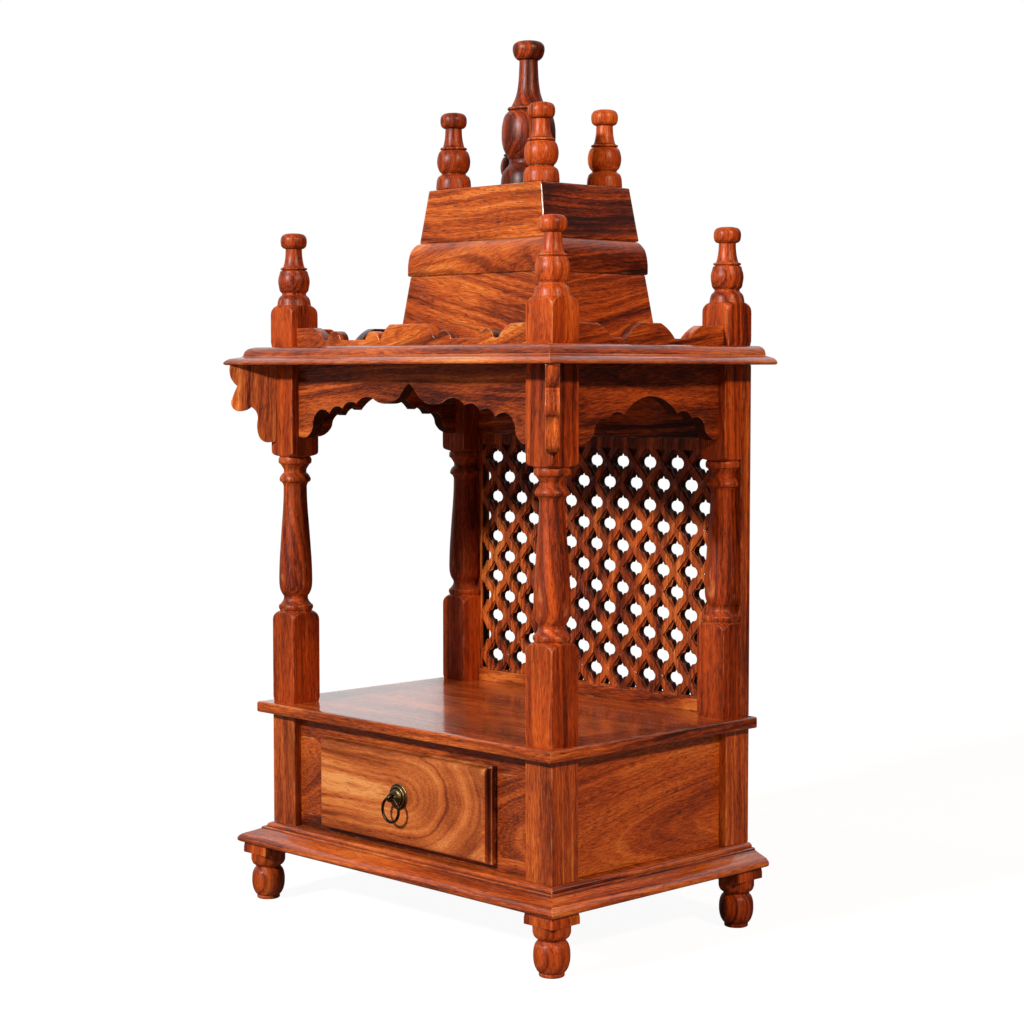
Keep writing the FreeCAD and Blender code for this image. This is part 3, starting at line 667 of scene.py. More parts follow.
for node, log, tone in (
        # The right side panel's tone of 0.10 is partly its own wood and partly painted light, in
        # place of a stronger side lamp.
        ("base_side_right", from_log("y", (-46, -38), (0.10, 0.06), 90, 0.55), 0.10),
        ("base_side_left", from_log("y", (46, 20), (-0.08, 0.05), 410), -0.08),
        ("base_back", from_log("x", (-50, 10), (0.05, 0.05), 777), -0.10),
        ("front_rail_low", from_log("x", (24, 9), (0.01, 0.02), 130), -0.16),
        ("front_rail_top", from_log("x", (30, -12), (0.02, 0.01), 950, 0.5), -0.02),
        ("front_stile_left", from_log("x", (38, 16), (0.22, 0.12), 20, 0.6), -0.02),
        ("front_stile_right", from_log("x", (36, -20), (-0.25, 0.14), 333, 0.7), -0.06)):
    plain_board(node, log, tone)
for side in ("left", "right"):
    plain_board("drawer_runner_" + side, from_log("y", (20, 9)), slot="drawer_box_wood")
print("base frame done")

# %% [markdown]
# Plinth, shelf and roof are boards whose edges were run past a cutter: a round nose with
# a slope and a bead on the plinth, a plain rounded edge on the shelf, and two tiers of
# thumb moulding on the roof.

# %% Plinth, shelf and roof
moulded_board("plinth", [
    (-7, 0), (-2.6, 0), [(-0.4, 1.6), (0, 4.2), (-0.8, 6.0), (-3.8, 8.8)],
    [(-8.8, 10.8), (-14.2, 12.9), (-18.6, 14.9)], (-18.9, 16.7), (-20.9, 17.3), (-21.2, 16.0),
    (-22.6, 16.5), (-22.8, 17.8), [(-23.2, 19.5), (-25.4, 21.2), (-27.6, 22.0)], (-32, 22)],
    (from_log("x", (-150, 22), (0.02, 0.012), 60, 0.8),
     from_log("y", (130, 18), (0.02, 0.02), 700)), (0.06, 0.08), rub=0.36)
moulded_board("shelf", [
    (-6, 0), (-2, 0), [(-0.6, 0.6), (0, 2)], (0, 9.5), [(-0.6, 10.9), (-2, 11.5)], (-6, 11.5)],
    (from_log("x", (-40, -60), (0.03, 0.02), 200, 0.6),
     from_log("y", (205, -30), (0.02, 0.02), 240)), (0.05, -0.14))
moulded_board("roof_low", [
    (-7, 0), (-2.4, 0), [(-0.5, 0.9), (0, 2.2), (-0.8, 3.7), (-3.0, 5.7)],
    [(-5.2, 6.8), (-9.0, 7.6), (-13.9, 8.8)], (-14.6, 9.5), (-19, 9.5)],
    (from_log("x", (-120, -25), (0.02, 0.01), 500),
     from_log("y", (110, 20), (0.02, 0.01), 530)), 0.05, rub=0.4)
moulded_board("roof_top", [
    (-5, 0), (-0.4, 0), [(-0.9, 1.6), (-1.4, 3.6), (-2.9, 6.2), (-4.8, 7.9)],
    [(-7.4, 8.9), (-9.4, 9.5)], (-14, 9.5)],
    (from_log("x", (-60, -30), (0.02, 0.01), 820, 0.6),
     from_log("y", (90, 25), (0.02, 0.01), 850)), (0.03, 0.03), rub=0.4)
print("plinth, shelf and roof done")

# %% [markdown]
# The tower leans in: two four-sided blocks with a thick band between them, whose top
# is rounded over. The boards have level grain. On the real one the front of the upper
# block is light and finely figured and the lower one is swept by long curved lines.

# %% The tower
def leaning_block(node, top_width, top_depth, log, tone):
    """Four sides that draw in evenly from the foot, as large as the node's box."""
    x0, x1, y0, y1, z0, z1 = node_box(node)
    lean = ((x1 - x0 - top_width) / 2 / (z1 - z0), (y1 - y0 - top_depth) / 2 / (z1 - z0))
    line, bend = plain_line(z1 - z0, 1.1)
    points, faces, wear_and_shade = board_points(x0, x1, y0, y1, z0, line, bend, lean=lean, r=1.1)
    add_piece(node, points, faces, log, wear_and_shade, tone)


leaning_block("tower_low", 200.0, 150.0, (
    from_log("x", (24, -64), (0.04, -0.17), 40, 0.8),
    from_log("y", (60, -46), (0.05, 0.10), 410)), (0.02, 0.0))
leaning_block("tower_top", 168.2, 130.0, (
    from_log("x", (40, 60), (0.05, -0.10), 620),
    from_log("y", (60, 40), (0.05, 0.06), 935)), (0.08, -0.28))
moulded_board("tower_band", [
    (-6, 0), (-1.6, 0), [(-0.5, 0.5), (0, 1.6)], (0, 10.5),
    [(-0.35, 15.0), (-1.25, 22.0), (-2.6, 27.0), (-4.5, 30.4), (-6.6, 33.2), (-9.6, 34.9)],
    (-14, 35)], (from_log("x", (44, -46), (0.12, 0.26), 300, 0.85),
                 from_log("y", (50, -60), (0.04, 0.05), 120)), (0.08, -0.22),
    sides="left right front back")
print("tower done")

# %% [markdown]
# ## Turned posts
# A post starts as a square bar, and the lathe cuts round only where its line is inside
# the square. So a cross-section is whichever is smaller at each angle: the lathe's
# circle or the square. Where they meet, the cut leaves curved shoulders on the flats.

# %% A square bar on the lathe
QUARTER = np.concatenate([np.linspace(-43.2, 43.2, 17), [44.2, 45.0, 45.8]])
ROUND = (np.arange(4)[:, None] * 90 + QUARTER[None, :]).ravel() * DEGREE
PLANED_OFF = 0.35
POST_HALF = 18.0


def square_reach(sharp=46):
    """Distance from the axis to a square with softened corners, where its sides are one
    away: a high power mean of the distances to the sides."""
    c, s = np.abs(np.cos(ROUND)), np.abs(np.sin(ROUND))
    return (c ** sharp + s ** sharp) ** (-1 / sharp)


def smaller(a, b, soft=0.5):
    """The smaller of two, with a soft ridge where they are equal."""
    return (a + b - np.sqrt((a - b) ** 2 + soft * soft)) / 2


def turned_points(start, steps, half=None, blocks=(), high=None, rub=0.3, bend=10.0, gap=5.0):
    """The lathe's line swept round, kept inside a square bar where half is given. The bar
    is a hair smaller outside its blocks, where it was planed before turning."""
    line, worn = ease(trace(start, steps, 0.2), rub, bend, gap)
    radius, up = line[:, 0], line[:, 1]
    wear_and_shade = np.broadcast_to(worn[:, None], (len(up), len(ROUND))).copy()
    reach = np.broadcast_to(radius[:, None], wear_and_shade.shape)
    if half:
        size = np.full(len(up), half - PLANED_OFF)
        for low, top in blocks:
            size = np.where((up >= low - 1e-6) & (up <= top + 1e-6), half, size)
        size = size - plain_inset(up, high, 0.8)
        bar = square_reach()[None, :] * size[:, None]
        corner = (np.abs(np.degrees(ROUND) % 90 - 45) < 1.2)[None, :]
        ridge = np.exp(-((reach - bar) / 0.9) ** 2) * (np.abs(worn) < 0.9)[:, None]
        wear_and_shade = np.where(bar < reach, np.where(corner, 1.0, 0.0), wear_and_shade)
        wear_and_shade = np.maximum(wear_and_shade, ridge * 0.8)
        reach = smaller(reach, bar)
    points = np.stack([reach * np.cos(ROUND), reach * np.sin(ROUND),
                       np.broadcast_to(up[:, None], reach.shape)], -1).reshape(-1, 3)
    return points, tube_faces(len(up), len(ROUND)), wear_and_shade.ravel()


def put_turned(node, shape, log, tone, at=None, flat=None):
    """A turned shape on its node: centred on the node's box, or at a place, and cut flat
    behind where it stands against a stile."""
    points, faces, wear_and_shade = shape
    x0, x1, y0, y1, z0, z1 = node_box(node)
    if flat is not None:
        points = np.stack([points[:, 0], np.minimum(points[:, 1], flat), points[:, 2]], 1)
    x, y = at or ((x0 + x1) / 2, (y0 + y1) / 2)
    add_piece(node, points + np.array([x, y, z0]), faces, log, wear_and_shade, tone, "turned_wood")


# %% [markdown]
# The pillars: a square foot, a collar and a neck, a long vase that thins upwards, a sharp
# ring, a neck, a collar and the square top. The two at the back are flat behind.

# %% Pillars
PILLAR_HIGH = 361.5
pillar = turned_points((36, 0), [
    (36, 88.4), (25.8, 88.5), [(25.2, 90.4), (23.6, 93.6), (21.0, 96.2), (17.6, 97.9)],
    (17.0, 98.3), (17.1, 99.1), [(18.4, 101.6), (17.9, 104.8)], (16.6, 105.3), (16.2, 106.2),
    [(14.6, 108.0), (13.2, 110.6)], (12.9, 111.4), (12.9, 114.2),
    [(15.0, 117.4), (16.5, 120.8), (17.3, 124.4), (17.75, 131.0), (17.7, 137.0), (17.3, 149.9),
     (16.1, 169.3), (14.5, 191.9), (13.4, 206.0), (12.7, 219.0), (12.4, 231.0)],
    [(12.9, 234.2), (14.3, 236.6)], (15.9, 237.4), [(16.7, 239.4), (16.4, 241.2)],
    [(15.2, 243.6), (13.2, 246.2)], (12.1, 246.6), (12.0, 250.0),
    [(13.5, 252.8), (15.6, 255.8)], (16.0, 256.2), (17.2, 256.8), [(17.7, 259.6), (17.2, 262.8)],
    (16.2, 263.3), (16.3, 264.0), (17.7, 264.6),
    [(21.0, 265.4), (23.8, 266.8), (25.3, 269.0), (25.8, 271.2)], (36, 271.3),
    (36, PILLAR_HIGH)], half=POST_HALF, blocks=((0, 97), (265, PILLAR_HIGH)), high=PILLAR_HIGH)
for corner_name, seed in POSTS.items():
    x0, x1, y0, y1, z0, z1 = node_box("pillar_" + corner_name)
    back = corner_name.startswith("back")
    # The faces that look left or right get a tone of -0.04: painted shade on the side that the
    # side lamp lights strongly.
    put_turned("pillar_" + corner_name, pillar, from_log(
        "z", (9 + seed % 11, 16 - seed % 13), (0.02, -0.015), seed * 53.0, 0.75),
        (0.02, -0.04), at=((x0 + x1) / 2, y0 + POST_HALF),
        flat=y1 - y0 - POST_HALF if back else None)
for side in ("left", "right"):
    plain_board("back_stile_" + side, from_log("z", (18, 30), (0.02, 0.01), 640), 0.02)
print("pillars", len(pillar[0]), "points each")

# %% [markdown]
# The small posts on the roof and on the tower end in the same bulb, stem and knob. The
# spire is their big brother, and the feet are the same idea upside down.

# %% Roof posts, tower posts, spire and feet
def bulb_and_knob(base, bulb):
    """Steps from the neck above a collar to the top of the knob."""
    def up(rows):
        return [(r, base + z) for r, z in rows]
    return [
        *up([(12.8, -1.2), (12.8, -0.2)]),
        up([(15.0, 2.2), (bulb - 0.8, 6.4), (bulb, 12.2), (bulb - 0.5, 16.8), (bulb - 1.8, 21.0),
            (14.5, 23.2)]), *up([(12.5, 23.9), (12.6, 24.4), (13.8, 24.7)]),
        up([(14.2, 25.7), (13.7, 26.7)]), *up([(11.5, 27.3)]),
        up([(10.5, 30.4), (9.7, 34.2), (9.0, 39.4), (8.7, 46.2)]),
        *up([(8.8, 46.9), (11.2, 47.5)]),
        up([(13.0, 49.4), (13.8, 52.4), (14.0, 55.4), (13.4, 58.8), (11.4, 61.6), (7.8, 62.9),
            (0.6, 63.4)])]


roof_post = turned_points((36, 0), [
    (36, 33.4), (25.8, 33.5), [(25.4, 35.8), (23.8, 39.6), (21.2, 42.6), (17.9, 44.4)],
    [(17.6, 47.0), (16.8, 50.6)], [(15.6, 53.0), (13.4, 54.9)]] + bulb_and_knob(57.6, 16.8),
    half=POST_HALF, blocks=((0, 42),), high=300.0)
ROOF_TONES = {"front_right": (0.26, 0.08), "back_right": (-0.06, -0.10)}
for corner_name, seed in POSTS.items():
    put_turned("roof_post_" + corner_name, roof_post, from_log(
        "z", (12 - seed % 17, 13 + seed % 7), (0.03, 0.02), seed * 71.0),
        ROOF_TONES.get(corner_name, (0.04, -0.04)))

tower_post = turned_points((17.6, 0), [
    [(18.4, 0.8), (18.5, 3.0), (18.3, 6.2), (17.5, 11.6), (16.4, 14.2)], (14.0, 15.9)]
    + bulb_and_knob(18.0, 17.6))
for corner_name, seed in POSTS.items():
    put_turned("tower_post_" + corner_name, tower_post, from_log(
        "z", (7 + seed % 8, 5 - seed % 9), (0.02, 0.03), seed * 19.0),
        0.24 if corner_name == "back_right" else 0.06)

spire = turned_points((28.4, 0), [
    [(29.2, 1.0), (29.3, 5.0), (28.6, 12.0), (27.2, 17.4), (24.0, 21.8), (21.0, 25.2)],
    (20.2, 27.0), (20.2, 31.0),
    [(22.4, 34.4), (25.8, 40.6), (28.0, 49.0), (28.4, 57.0), (27.5, 68.5), (24.8, 77.2),
     (21.6, 80.8)],
    (19.8, 81.5), (20.0, 82.1), (21.7, 82.5), [(22.2, 83.7), (21.6, 85.0)], (18.6, 85.7),
    [(16.6, 89.2), (14.5, 94.0), (12.6, 100.0), (11.1, 109.0), (10.1, 122.0), (9.7, 132.0)],
    (9.8, 134.2), (12.4, 135.2),
    [(14.8, 138.0), (16.3, 142.0), (16.8, 145.6), (16.0, 149.8), (13.4, 152.6), (8.4, 154.1),
     (0.6, 154.5)]])
put_turned("spire", spire, from_log("z", (10, 8), (0.02, 0.02), 900), -0.30)

foot = turned_points((0.6, 0), [
    (11.4, 0), (12.2, 0.7), (12.3, 2.9), (11.9, 3.7), [(13.4, 5.0), (15.9, 9.2), (17.3, 14.4),
     (17.7, 20.0), (17.2, 26.4), (15.7, 31.2), (13.6, 34.0)], (13.2, 34.5), (13.4, 36.0),
    [(15.8, 37.4), (17.6, 40.0)], (18.3, 42.4), (18.3, 47.6), (18.5, 49.8), (38, 50.0), (38, 61)],
    half=19.0, blocks=((49.9, 61),), high=61.0)
for corner_name, seed in POSTS.items():
    put_turned("foot_" + corner_name, foot, from_log(
        "z", (8 - seed % 5, 6 + seed % 6), (0.02, 0.03), seed * 7.0),
        0.18 if corner_name == "front_right" else 0.08)
print("small posts and feet done")

# %% [markdown]
# ## Fretted boards
# Aprons and crests were cut with a fret saw. The sawn edge is a line along the board, and
# the other edge is straight. Each place along the board gets one loop round its section:
# up the front, over the top edge, down the back and under the lower edge.

# %% A board between two edge lines
EDGE = np.array([0, 30, 60, 90]) * DEGREE


def inward(line, side):
    """Unit normals of a line, on its left for side 1 and on its right for side -1."""
    way = np.gradient(line, axis=0)
    way /= np.linalg.norm(way, axis=1)[:, None]
    return np.stack([-way[:, 1], way[:, 0]], 1) * side


def section_loops(low, high, thick, r=0.7, spare=2.4):
    """Loops from a lower and an upper line of equal length, both running to the right."""
    loops = []

    def corner_run(line, into, angles, back):
        for a in angles:
            point = line + into * r * (1 - math.sin(a))
            depth = r * (1 - math.cos(a))
            loops.append((point, thick - depth if back else depth))

    def flat_run(line, shift, back):
        level = np.stack([np.maximum.accumulate(line[:, 0]), line[:, 1] + shift], 1)
        loops.append((level, thick if back else 0.0))

    into_low, into_high = inward(low, 1), inward(high, -1)
    corner_run(low, into_low, EDGE[::-1], False)
    flat_run(low, spare, False)
    flat_run(high, -spare, False)
    corner_run(high, into_high, EDGE, False)
    corner_run(high, into_high, EDGE[::-1], True)
    flat_run(high, -spare, True)
    flat_run(low, spare, True)
    corner_run(low, into_low, EDGE, True)
    points = [np.stack([p[:, 0], np.full(len(p), depth), p[:, 1]], 1) for p, depth in loops]
    return np.stack(points, 1)


LOOP_WEAR = np.tile([0.5, 1, 1, 0.5, 0, 0, 0.5, 1, 1, 0.5], 2)
LOWER_EDGE, UPPER_EDGE = [0, -1], [9, 10]


def fretted_board(node, low, high, thick, turn, at, log, tone, sawn=LOWER_EDGE, wear_and_shade=-2.0):
    """The board, turned about the Z axis and put in place. The loops of its sawn edge get a value
    of their own: far below zero is rough and dark, partly as rough end grain and partly as painted
    shade on an edge that faces down, and above zero is rubbed."""
    loops = section_loops(low, high, thick)
    points = quarter_turn(loops.reshape(-1, 3), turn, at)
    loop_wear = LOOP_WEAR.copy()
    loop_wear[sawn] = wear_and_shade
    loop_wear = np.broadcast_to(loop_wear, loops.shape[:2]).ravel()
    add_piece(node, points, tube_faces(*loops.shape[:2], flip=True), log, loop_wear, tone,
              "fretted_wood")


def level_with(line, height):
    """A straight line at one height, with a point over each point of the fretted one."""
    x = np.maximum.accumulate(line[:, 0])
    return np.stack([x, np.full(len(x), height)], 1)


def fret_line(half, rows, foot, ends=None):
    """A fretted edge from shares of the half span and heights over the foot, mirrored. Ends
    give the board's own ends where the arch isn't in its middle."""
    def at(pair):
        return (-pair[0] * half, foot + pair[1])
    left, right = ends or (-half, half)
    level = foot + rows[0][1]
    steps = [[at(p) for p in row] if isinstance(row, list) else at(row) for row in rows]
    line = trace((left, level), mirrored((-half, level), steps)[:-1] + [(right, level)], 0.2)
    return ease(line, rub=0.55, bend=9, gap=6)[0]


# %% [markdown]
# The aprons hang under the roof: scallops that climb from each post to an ogee in the
# middle. The front one has five scallops a side, and the side ones three and a tall arch.

# %% Aprons
x0, x1, y0, y1, z0, z1 = node_box("apron_front")
front_edge = fret_line((x1 - x0) / 2, [
    (0.943, 0), [(0.896, 4.2), (0.866, 14.0)], [(0.806, 29.2), (0.712, 25.5)],
    [(0.662, 33.0), (0.592, 31.0)], [(0.543, 37.6), (0.464, 36.4)],
    [(0.396, 43.1), (0.293, 39.7)], [(0.180, 37.2), (0.082, 44.0)],
    [(0.046, 51.0), (0, 57.6)]], z0)
fretted_board("apron_front", front_edge, level_with(front_edge, z1), y1 - y0, 0, (0, y0, 0),
              from_log("x", (40, -30), (0.10, 0.12), 150), -0.06)

SIDE_ROWS = [(0.904, 0), [(0.807, 3.8), (0.743, 11.5)], [(0.664, 23.3), (0.563, 22.1)],
             [(0.484, 29.6), (0.360, 27.6)], [(0.190, 41.0), (0, 45.2)]]
ARCH_HALF, ARCH_Y = 108.5, 21.45
for side, turn in (("right", 90), ("left", -90)):
    x0, x1, y0, y1, z0, z1 = node_box("apron_" + side)
    ends = (y0 - ARCH_Y, y1 - ARCH_Y) if side == "right" else (ARCH_Y - y1, ARCH_Y - y0)
    side_edge = fret_line(ARCH_HALF, SIDE_ROWS, z0, ends)
    outer = x1 if side == "right" else x0
    fretted_board("apron_" + side, side_edge, level_with(side_edge, z1), x1 - x0, turn,
                  (outer, ARCH_Y, 0), from_log("y", (-38, 26), (0.05, 0.06), 88, 0.7), -0.22)
print("aprons done")

# %% [markdown]
# The crests stand on the roof between its posts. Their fretted edge is on top, and it is not
# painted dark like the aprons' lower edges.

# %% Crests
FRONT_CREST = [
    (0.852, 20), [(0.790, 14.4), (0.745, 6.5)], (0.710, 6.5), [(0.651, 16), (0.592, 6.5)],
    (0.368, 6.5), [(0.307, 15), (0.246, 6.5)], (0.233, 6.5), [(0.203, 14.4), (0.150, 21.5)],
    (0, 21.5)]
SIDE_CREST = [
    (0.701, 20), [(0.602, 14.6), (0.512, 6.5)], (0.323, 6.5), [(0.252, 14), (0.130, 21.5)],
    (0, 21.5)]
CREST_TONE, CREST_WEAR = -0.02, 0.1
x0, x1, y0, y1, z0, z1 = node_box("crest_front")
crest_edge = fret_line((x1 - x0) / 2, FRONT_CREST, z0)
fretted_board("crest_front", level_with(crest_edge, z0), crest_edge, y1 - y0, 0, (0, y0, 0),
              from_log("x", (30, 14), (0.12, 0.15), 380), CREST_TONE, UPPER_EDGE, CREST_WEAR)
for side, turn in (("right", 90), ("left", -90)):
    x0, x1, y0, y1, z0, z1 = node_box("crest_" + side)
    crest_edge = fret_line((y1 - y0) / 2, SIDE_CREST, z0)
    outer = x1 if side == "right" else x0
    fretted_board("crest_" + side, level_with(crest_edge, z0), crest_edge, x1 - x0, turn,
                  (outer, (y0 + y1) / 2, 0), from_log("y", (24, 14), (0.05, 0.10), 210),
                  CREST_TONE, UPPER_EDGE, CREST_WEAR)
print("crests done")

# %% [markdown]
# The two scrolled brackets stand on the diagonal at the front corners. Their edge folds
# back on itself, so it is drawn round a middle point: each place on the outline is joined
# to that point, on the front and on the back.

# %% Brackets
def round_board(outline, middle, thick, r=0.7):
    """Rings from the middle of one face, out to the outline, over the edge, and back in on
    the other face."""
    outline = np.asarray(outline)
    middle = np.array(middle, float)
    way = np.roll(outline, -1, 0) - np.roll(outline, 1, 0)
    way /= np.linalg.norm(way, axis=1)[:, None]
    into = np.stack([-way[:, 1], way[:, 0]], 1)
    rings = []
    for back in (False, True):
        near = []
        for share in (0.02, 0.86):
            near.append((middle + (outline - middle) * share, 0.0))
        for a in EDGE:
            near.append((outline + into * r * (1 - math.sin(a)), r * (1 - math.cos(a))))
        if back:
            near = [(p, thick - depth) for p, depth in reversed(near)]
        rings += near
    return np.stack([np.stack([p[:, 0], np.full(len(p), d), p[:, 1]], 1) for p, d in rings])

bracket_line = ease(trace((-6.4, 0), [
    (43.0, 0), [(43.5, -5.6), (41.8, -14.0)], [(38.8, -18.6), (35.2, -22.2)],
    [(38.6, -29.6), (41.6, -38.0)], [(38.0, -47.6), (30.0, -48.8)],
    [(25.4, -47.4), (21.2, -44.2)], [(14.4, -51.0), (13.8, -59.0)],
    [(14.2, -68.0), (12.4, -75.6)], [(6.8, -81.5), (0, -82.0)], (-6.4, -82.0), (-6.4, 0)],
    0.2), rub=0.6, bend=9, gap=6)[0]
BRACKET_THICK = 13.5
RING_WEAR = np.array([0, 0, 0.5, 1, 1, 0.3, 0.3, 1, 1, 0.5, 0, 0])
rings = round_board(bracket_line[:-1][::-1], (0, -25), BRACKET_THICK)
flat = (rings - np.array([0, BRACKET_THICK / 2, 0])).reshape(-1, 3)
bracket_wear = np.broadcast_to(RING_WEAR[:, None], rings.shape[:2]).ravel()
for side, turn in (("right", -45), ("left", -135)):
    x0, x1, y0, y1, z0, z1 = node_box("pillar_front_" + side)
    points = quarter_turn(flat, turn, (x1 if side == "right" else x0, y0, z1))
    # The tone of 0.10 lightens the brackets: painted light on their edges.
    add_piece("bracket_" + side, points, tube_faces(*rings.shape[:2]),
              from_log("z", (26, 20), (0.03, 0.02), 250 + turn), bracket_wear, 0.10,
              "fretted_wood")
print("brackets done")

# %% [markdown]
# ## The pierced back
# The lattice looks like slats crossing on the slant. It was sawn from one board: round
# lobes and pointed tips make each hole, then the slats between the holes were left proud
# and the ground beside them cut back. A slat dips where the other crosses over it. Each
# hole is one patch, from the rhombus that it shares with its neighbours, over the edge of
# the slats, to the hole's rim, down a wall that narrows a little, and back out on the rear.
# At the border the patches are trimmed to the panel, and above the top row of holes the
# ground is cut between the slats but not pierced.

# %% The lattice
# Half the grid, half a hole and the point where its lobes meet, and the first hole's place
PITCH_X, PITCH_Z = 19.5, 22.75
HOLE_X, HOLE_Z, CUSP_X, CUSP_Z = 13.0, 16.5, 5.5, 6.2
FIRST_X, FIRST_Z = 3.5, 31.0
# How wide the slats are, how far they stand proud and how deep they dip
SLAT, PROUD, DIP = 6.9, 2.0, 0.9
# The share of the drawn hole that is left open, and how much it narrows to the rear
OPEN_SHARE, NARROWS = 0.91, 0.07
# Above the top row the ground is deeper, and the slats run out over it
TOP_DEEPER = 2.0
SIDE = 15
HALF_SPACING = PITCH_X * PITCH_Z / math.hypot(PITCH_X, PITCH_Z)


def all_quarters(quarter):
    """A line from the right to the top, carried on round the other three quarters."""
    line = np.concatenate([quarter[:-1], (quarter * [-1, 1])[::-1][:-1]])
    return np.concatenate([line, -line])


def hole_rim():
    """The hole's edge: a quarter is half a round lobe and one side of a pointed tip."""
    lobe = trace((CUSP_X, -CUSP_Z), [[(HOLE_X, 0), (CUSP_X, CUSP_Z)], (0, HOLE_Z)], 0.1)
    quarter = lobe[lobe[:, 1] >= -0.03]
    length = along(quarter)
    return all_quarters(resample(quarter, length, np.linspace(0, length[-1], SIDE + 1)))


def rhombus(scale):
    """Even points on the rhombus between the centres of four slat crossings."""
    t = np.linspace(0, 1, SIDE + 1)
    return all_quarters(np.stack([PITCH_X * (1 - t), PITCH_Z * t], 1)) * scale


def trimmed(shape, window):
    """A closed line cut off at the window's four sides, one after the other. A point is
    added wherever the line crosses a side."""
    for axis in (0, 1):
        for sign, limit in ((-1, window[0][axis]), (1, window[1][axis])):
            if not len(shape):
                return shape
            over = sign * (shape[:, axis] - limit)
            after, next_over = np.roll(shape, -1, 0), np.roll(over, -1)
            cross = (over > 0) != (next_over > 0)
            share = (over / np.where(cross, over - next_over, 1))[:, None]
            order = np.concatenate([np.arange(len(shape))[over <= 0], np.flatnonzero(cross) + 0.5])
            shape = np.concatenate([shape[over <= 0], (shape + (after - shape) * share)[cross]])
            shape = shape[np.argsort(order)]
    return shape


def closed_even(shape, gap):
    """The closed line with more points, so that none are further apart than the gap."""
    loop = np.concatenate([shape, shape[:1]])
    length = along(loop)
    keep = np.concatenate([[True], np.diff(length) > 1e-6])
    places = np.union1d(length[keep], np.arange(0, length[-1], gap))[:-1]
    places = places[np.concatenate([[True], np.diff(places) > 0.02])]
    return resample(loop[keep], length[keep], places)


def seen_from(middle, shape, outer):
    """Where rays from a middle point to the outer line's points cross a closed line."""
    fine = closed_even(shape, 0.15)
    angle = np.arctan2(*(fine - middle).T[::-1])
    to = np.arctan2(*(outer - middle).T[::-1])
    order = np.argsort(angle)
    return np.stack([np.interp(to, angle[order], fine[order, i], period=2 * np.pi)
                     for i in (0, 1)], 1)


def weave(x, z):
    """How far the top of the slats lies below the board's face. Along each slat the height
    is a cosine, high at one crossing and low at the next, and where two slats overlap the
    higher one shows."""
    down, up = (x / PITCH_X + z / PITCH_Z) / 2, (x / PITCH_X - z / PITCH_Z) / 2
    off_down = np.abs(down % 1 - 0.5) * 2 * HALF_SPACING
    off_up = np.abs(up % 1 - 0.5) * 2 * HALF_SPACING
    lift_down = np.cos(np.pi * (up - 0.5 + np.floor(down)))
    lift_up = -np.cos(np.pi * (down - 0.5 + np.floor(up)))
    lift_down = lift_down - np.clip((off_down - SLAT / 2 - 0.05) / 0.6, 0, 1) * 4
    lift_up = lift_up - np.clip((off_up - SLAT / 2 - 0.05) / 0.6, 0, 1) * 4
    return DIP * (1 - np.clip(np.maximum(lift_down, lift_up), -1, 1)) / 2


x0, x1, y0, y1, z0, z1 = node_box("back_lattice")
depth = y1 - y0
start = np.array([FIRST_X, node_box("shelf")[5] + FIRST_Z])
panel = np.array([[x0, z0], [x1, z1]])
ground = np.array([[x0 + 3, z0 + 2.2], [x1 - 3, z1 - 12.0]])
pierced = np.array([[x0 + 2, z0 + 1.2], [x1 - 2, z1 - 16.5]])
inset = 1 - SLAT / 2 / HALF_SPACING
rim = hole_rim() * OPEN_SHARE
parts, faces, wears, first = [], [], [], 0
for column in range(-10, 11):
    for row in range(-1, 8):
        at = start + [column * PITCH_X, (row + (0.5 if column % 2 else 0.0)) * 2 * PITCH_Z]
        outer = trimmed(rhombus(1.0) + at, panel)
        if len(outer) < 3:
            continue
        lip = trimmed(rhombus(inset) + at, ground)
        hole = trimmed(rim + at, pierced)
        blind = at[1] > pierced[1, 1] or len(hole) < 8
        whole = len(outer) == len(lip) == len(hole) == 4 * SIDE
        if not whole:
            outer = closed_even(outer, 2.2)
            middle = hole.mean(0) if not blind else (lip if len(lip) > 3 else outer).mean(0)
            lip = seen_from(middle, lip, outer) if len(lip) > 3 else outer * 0 + middle
            hole = seen_from(middle, hole, outer) if not blind else outer * 0 + middle
        cut = (PROUD + TOP_DEEPER * (at[1] > pierced[1, 1])) * (len(lip) > 3)
        # Below zero the wear paints the cut-back ground beside the slats and the blind pockets
        # darker, as painted shade. The hole walls at -2 get the dark sawn edge, partly end grain
        # and partly painted shade.
        rings = [(outer, None, 0.0), (outer + (lip - outer) * 0.33, None, 0.0),
                 (outer + (lip - outer) * 0.67, None, 0.0), (lip, None, 0.45), (lip, cut, -0.7)]
        if blind:
            rings += [(hole, cut, -0.9), (hole, depth, 0.0)]
        else:
            narrow = hole + (hole.mean(0) - hole) * NARROWS
            rings += [(hole, cut, -0.3), (hole, cut + 0.6, -2.0), (narrow, depth, -2.0)]
        rings.append((outer, depth, 0.0))
        for line, low, worn in rings:
            y = np.full(len(line), low or 0.0)
            if low is None:
                inside = np.all((line > ground[0] + 0.01) & (line < ground[1] - 0.01), axis=1)
                y = weave(*(line - start).T) * inside
            parts.append(np.stack([line[:, 0], y0 + y, line[:, 1]], 1))
            wears.append(np.full(len(line), worn))
        size = len(outer)
        quads = grid_quads(len(rings), size) + first
        faces += [quads[:, [0, 1, 2]], quads[:, [0, 2, 3]]]
        # The board's own narrow edges
        on = [np.isclose(outer, side) & np.isclose(np.roll(outer, -1, 0), side) for side in panel]
        here = np.flatnonzero((on[0] | on[1]).any(1))
        after = (here + 1) % size
        last = first + (len(rings) - 1) * size
        faces += [np.stack([first + here, last + after, first + after], 1),
                  np.stack([first + here, last + here, last + after], 1)]
        first += len(rings) * size

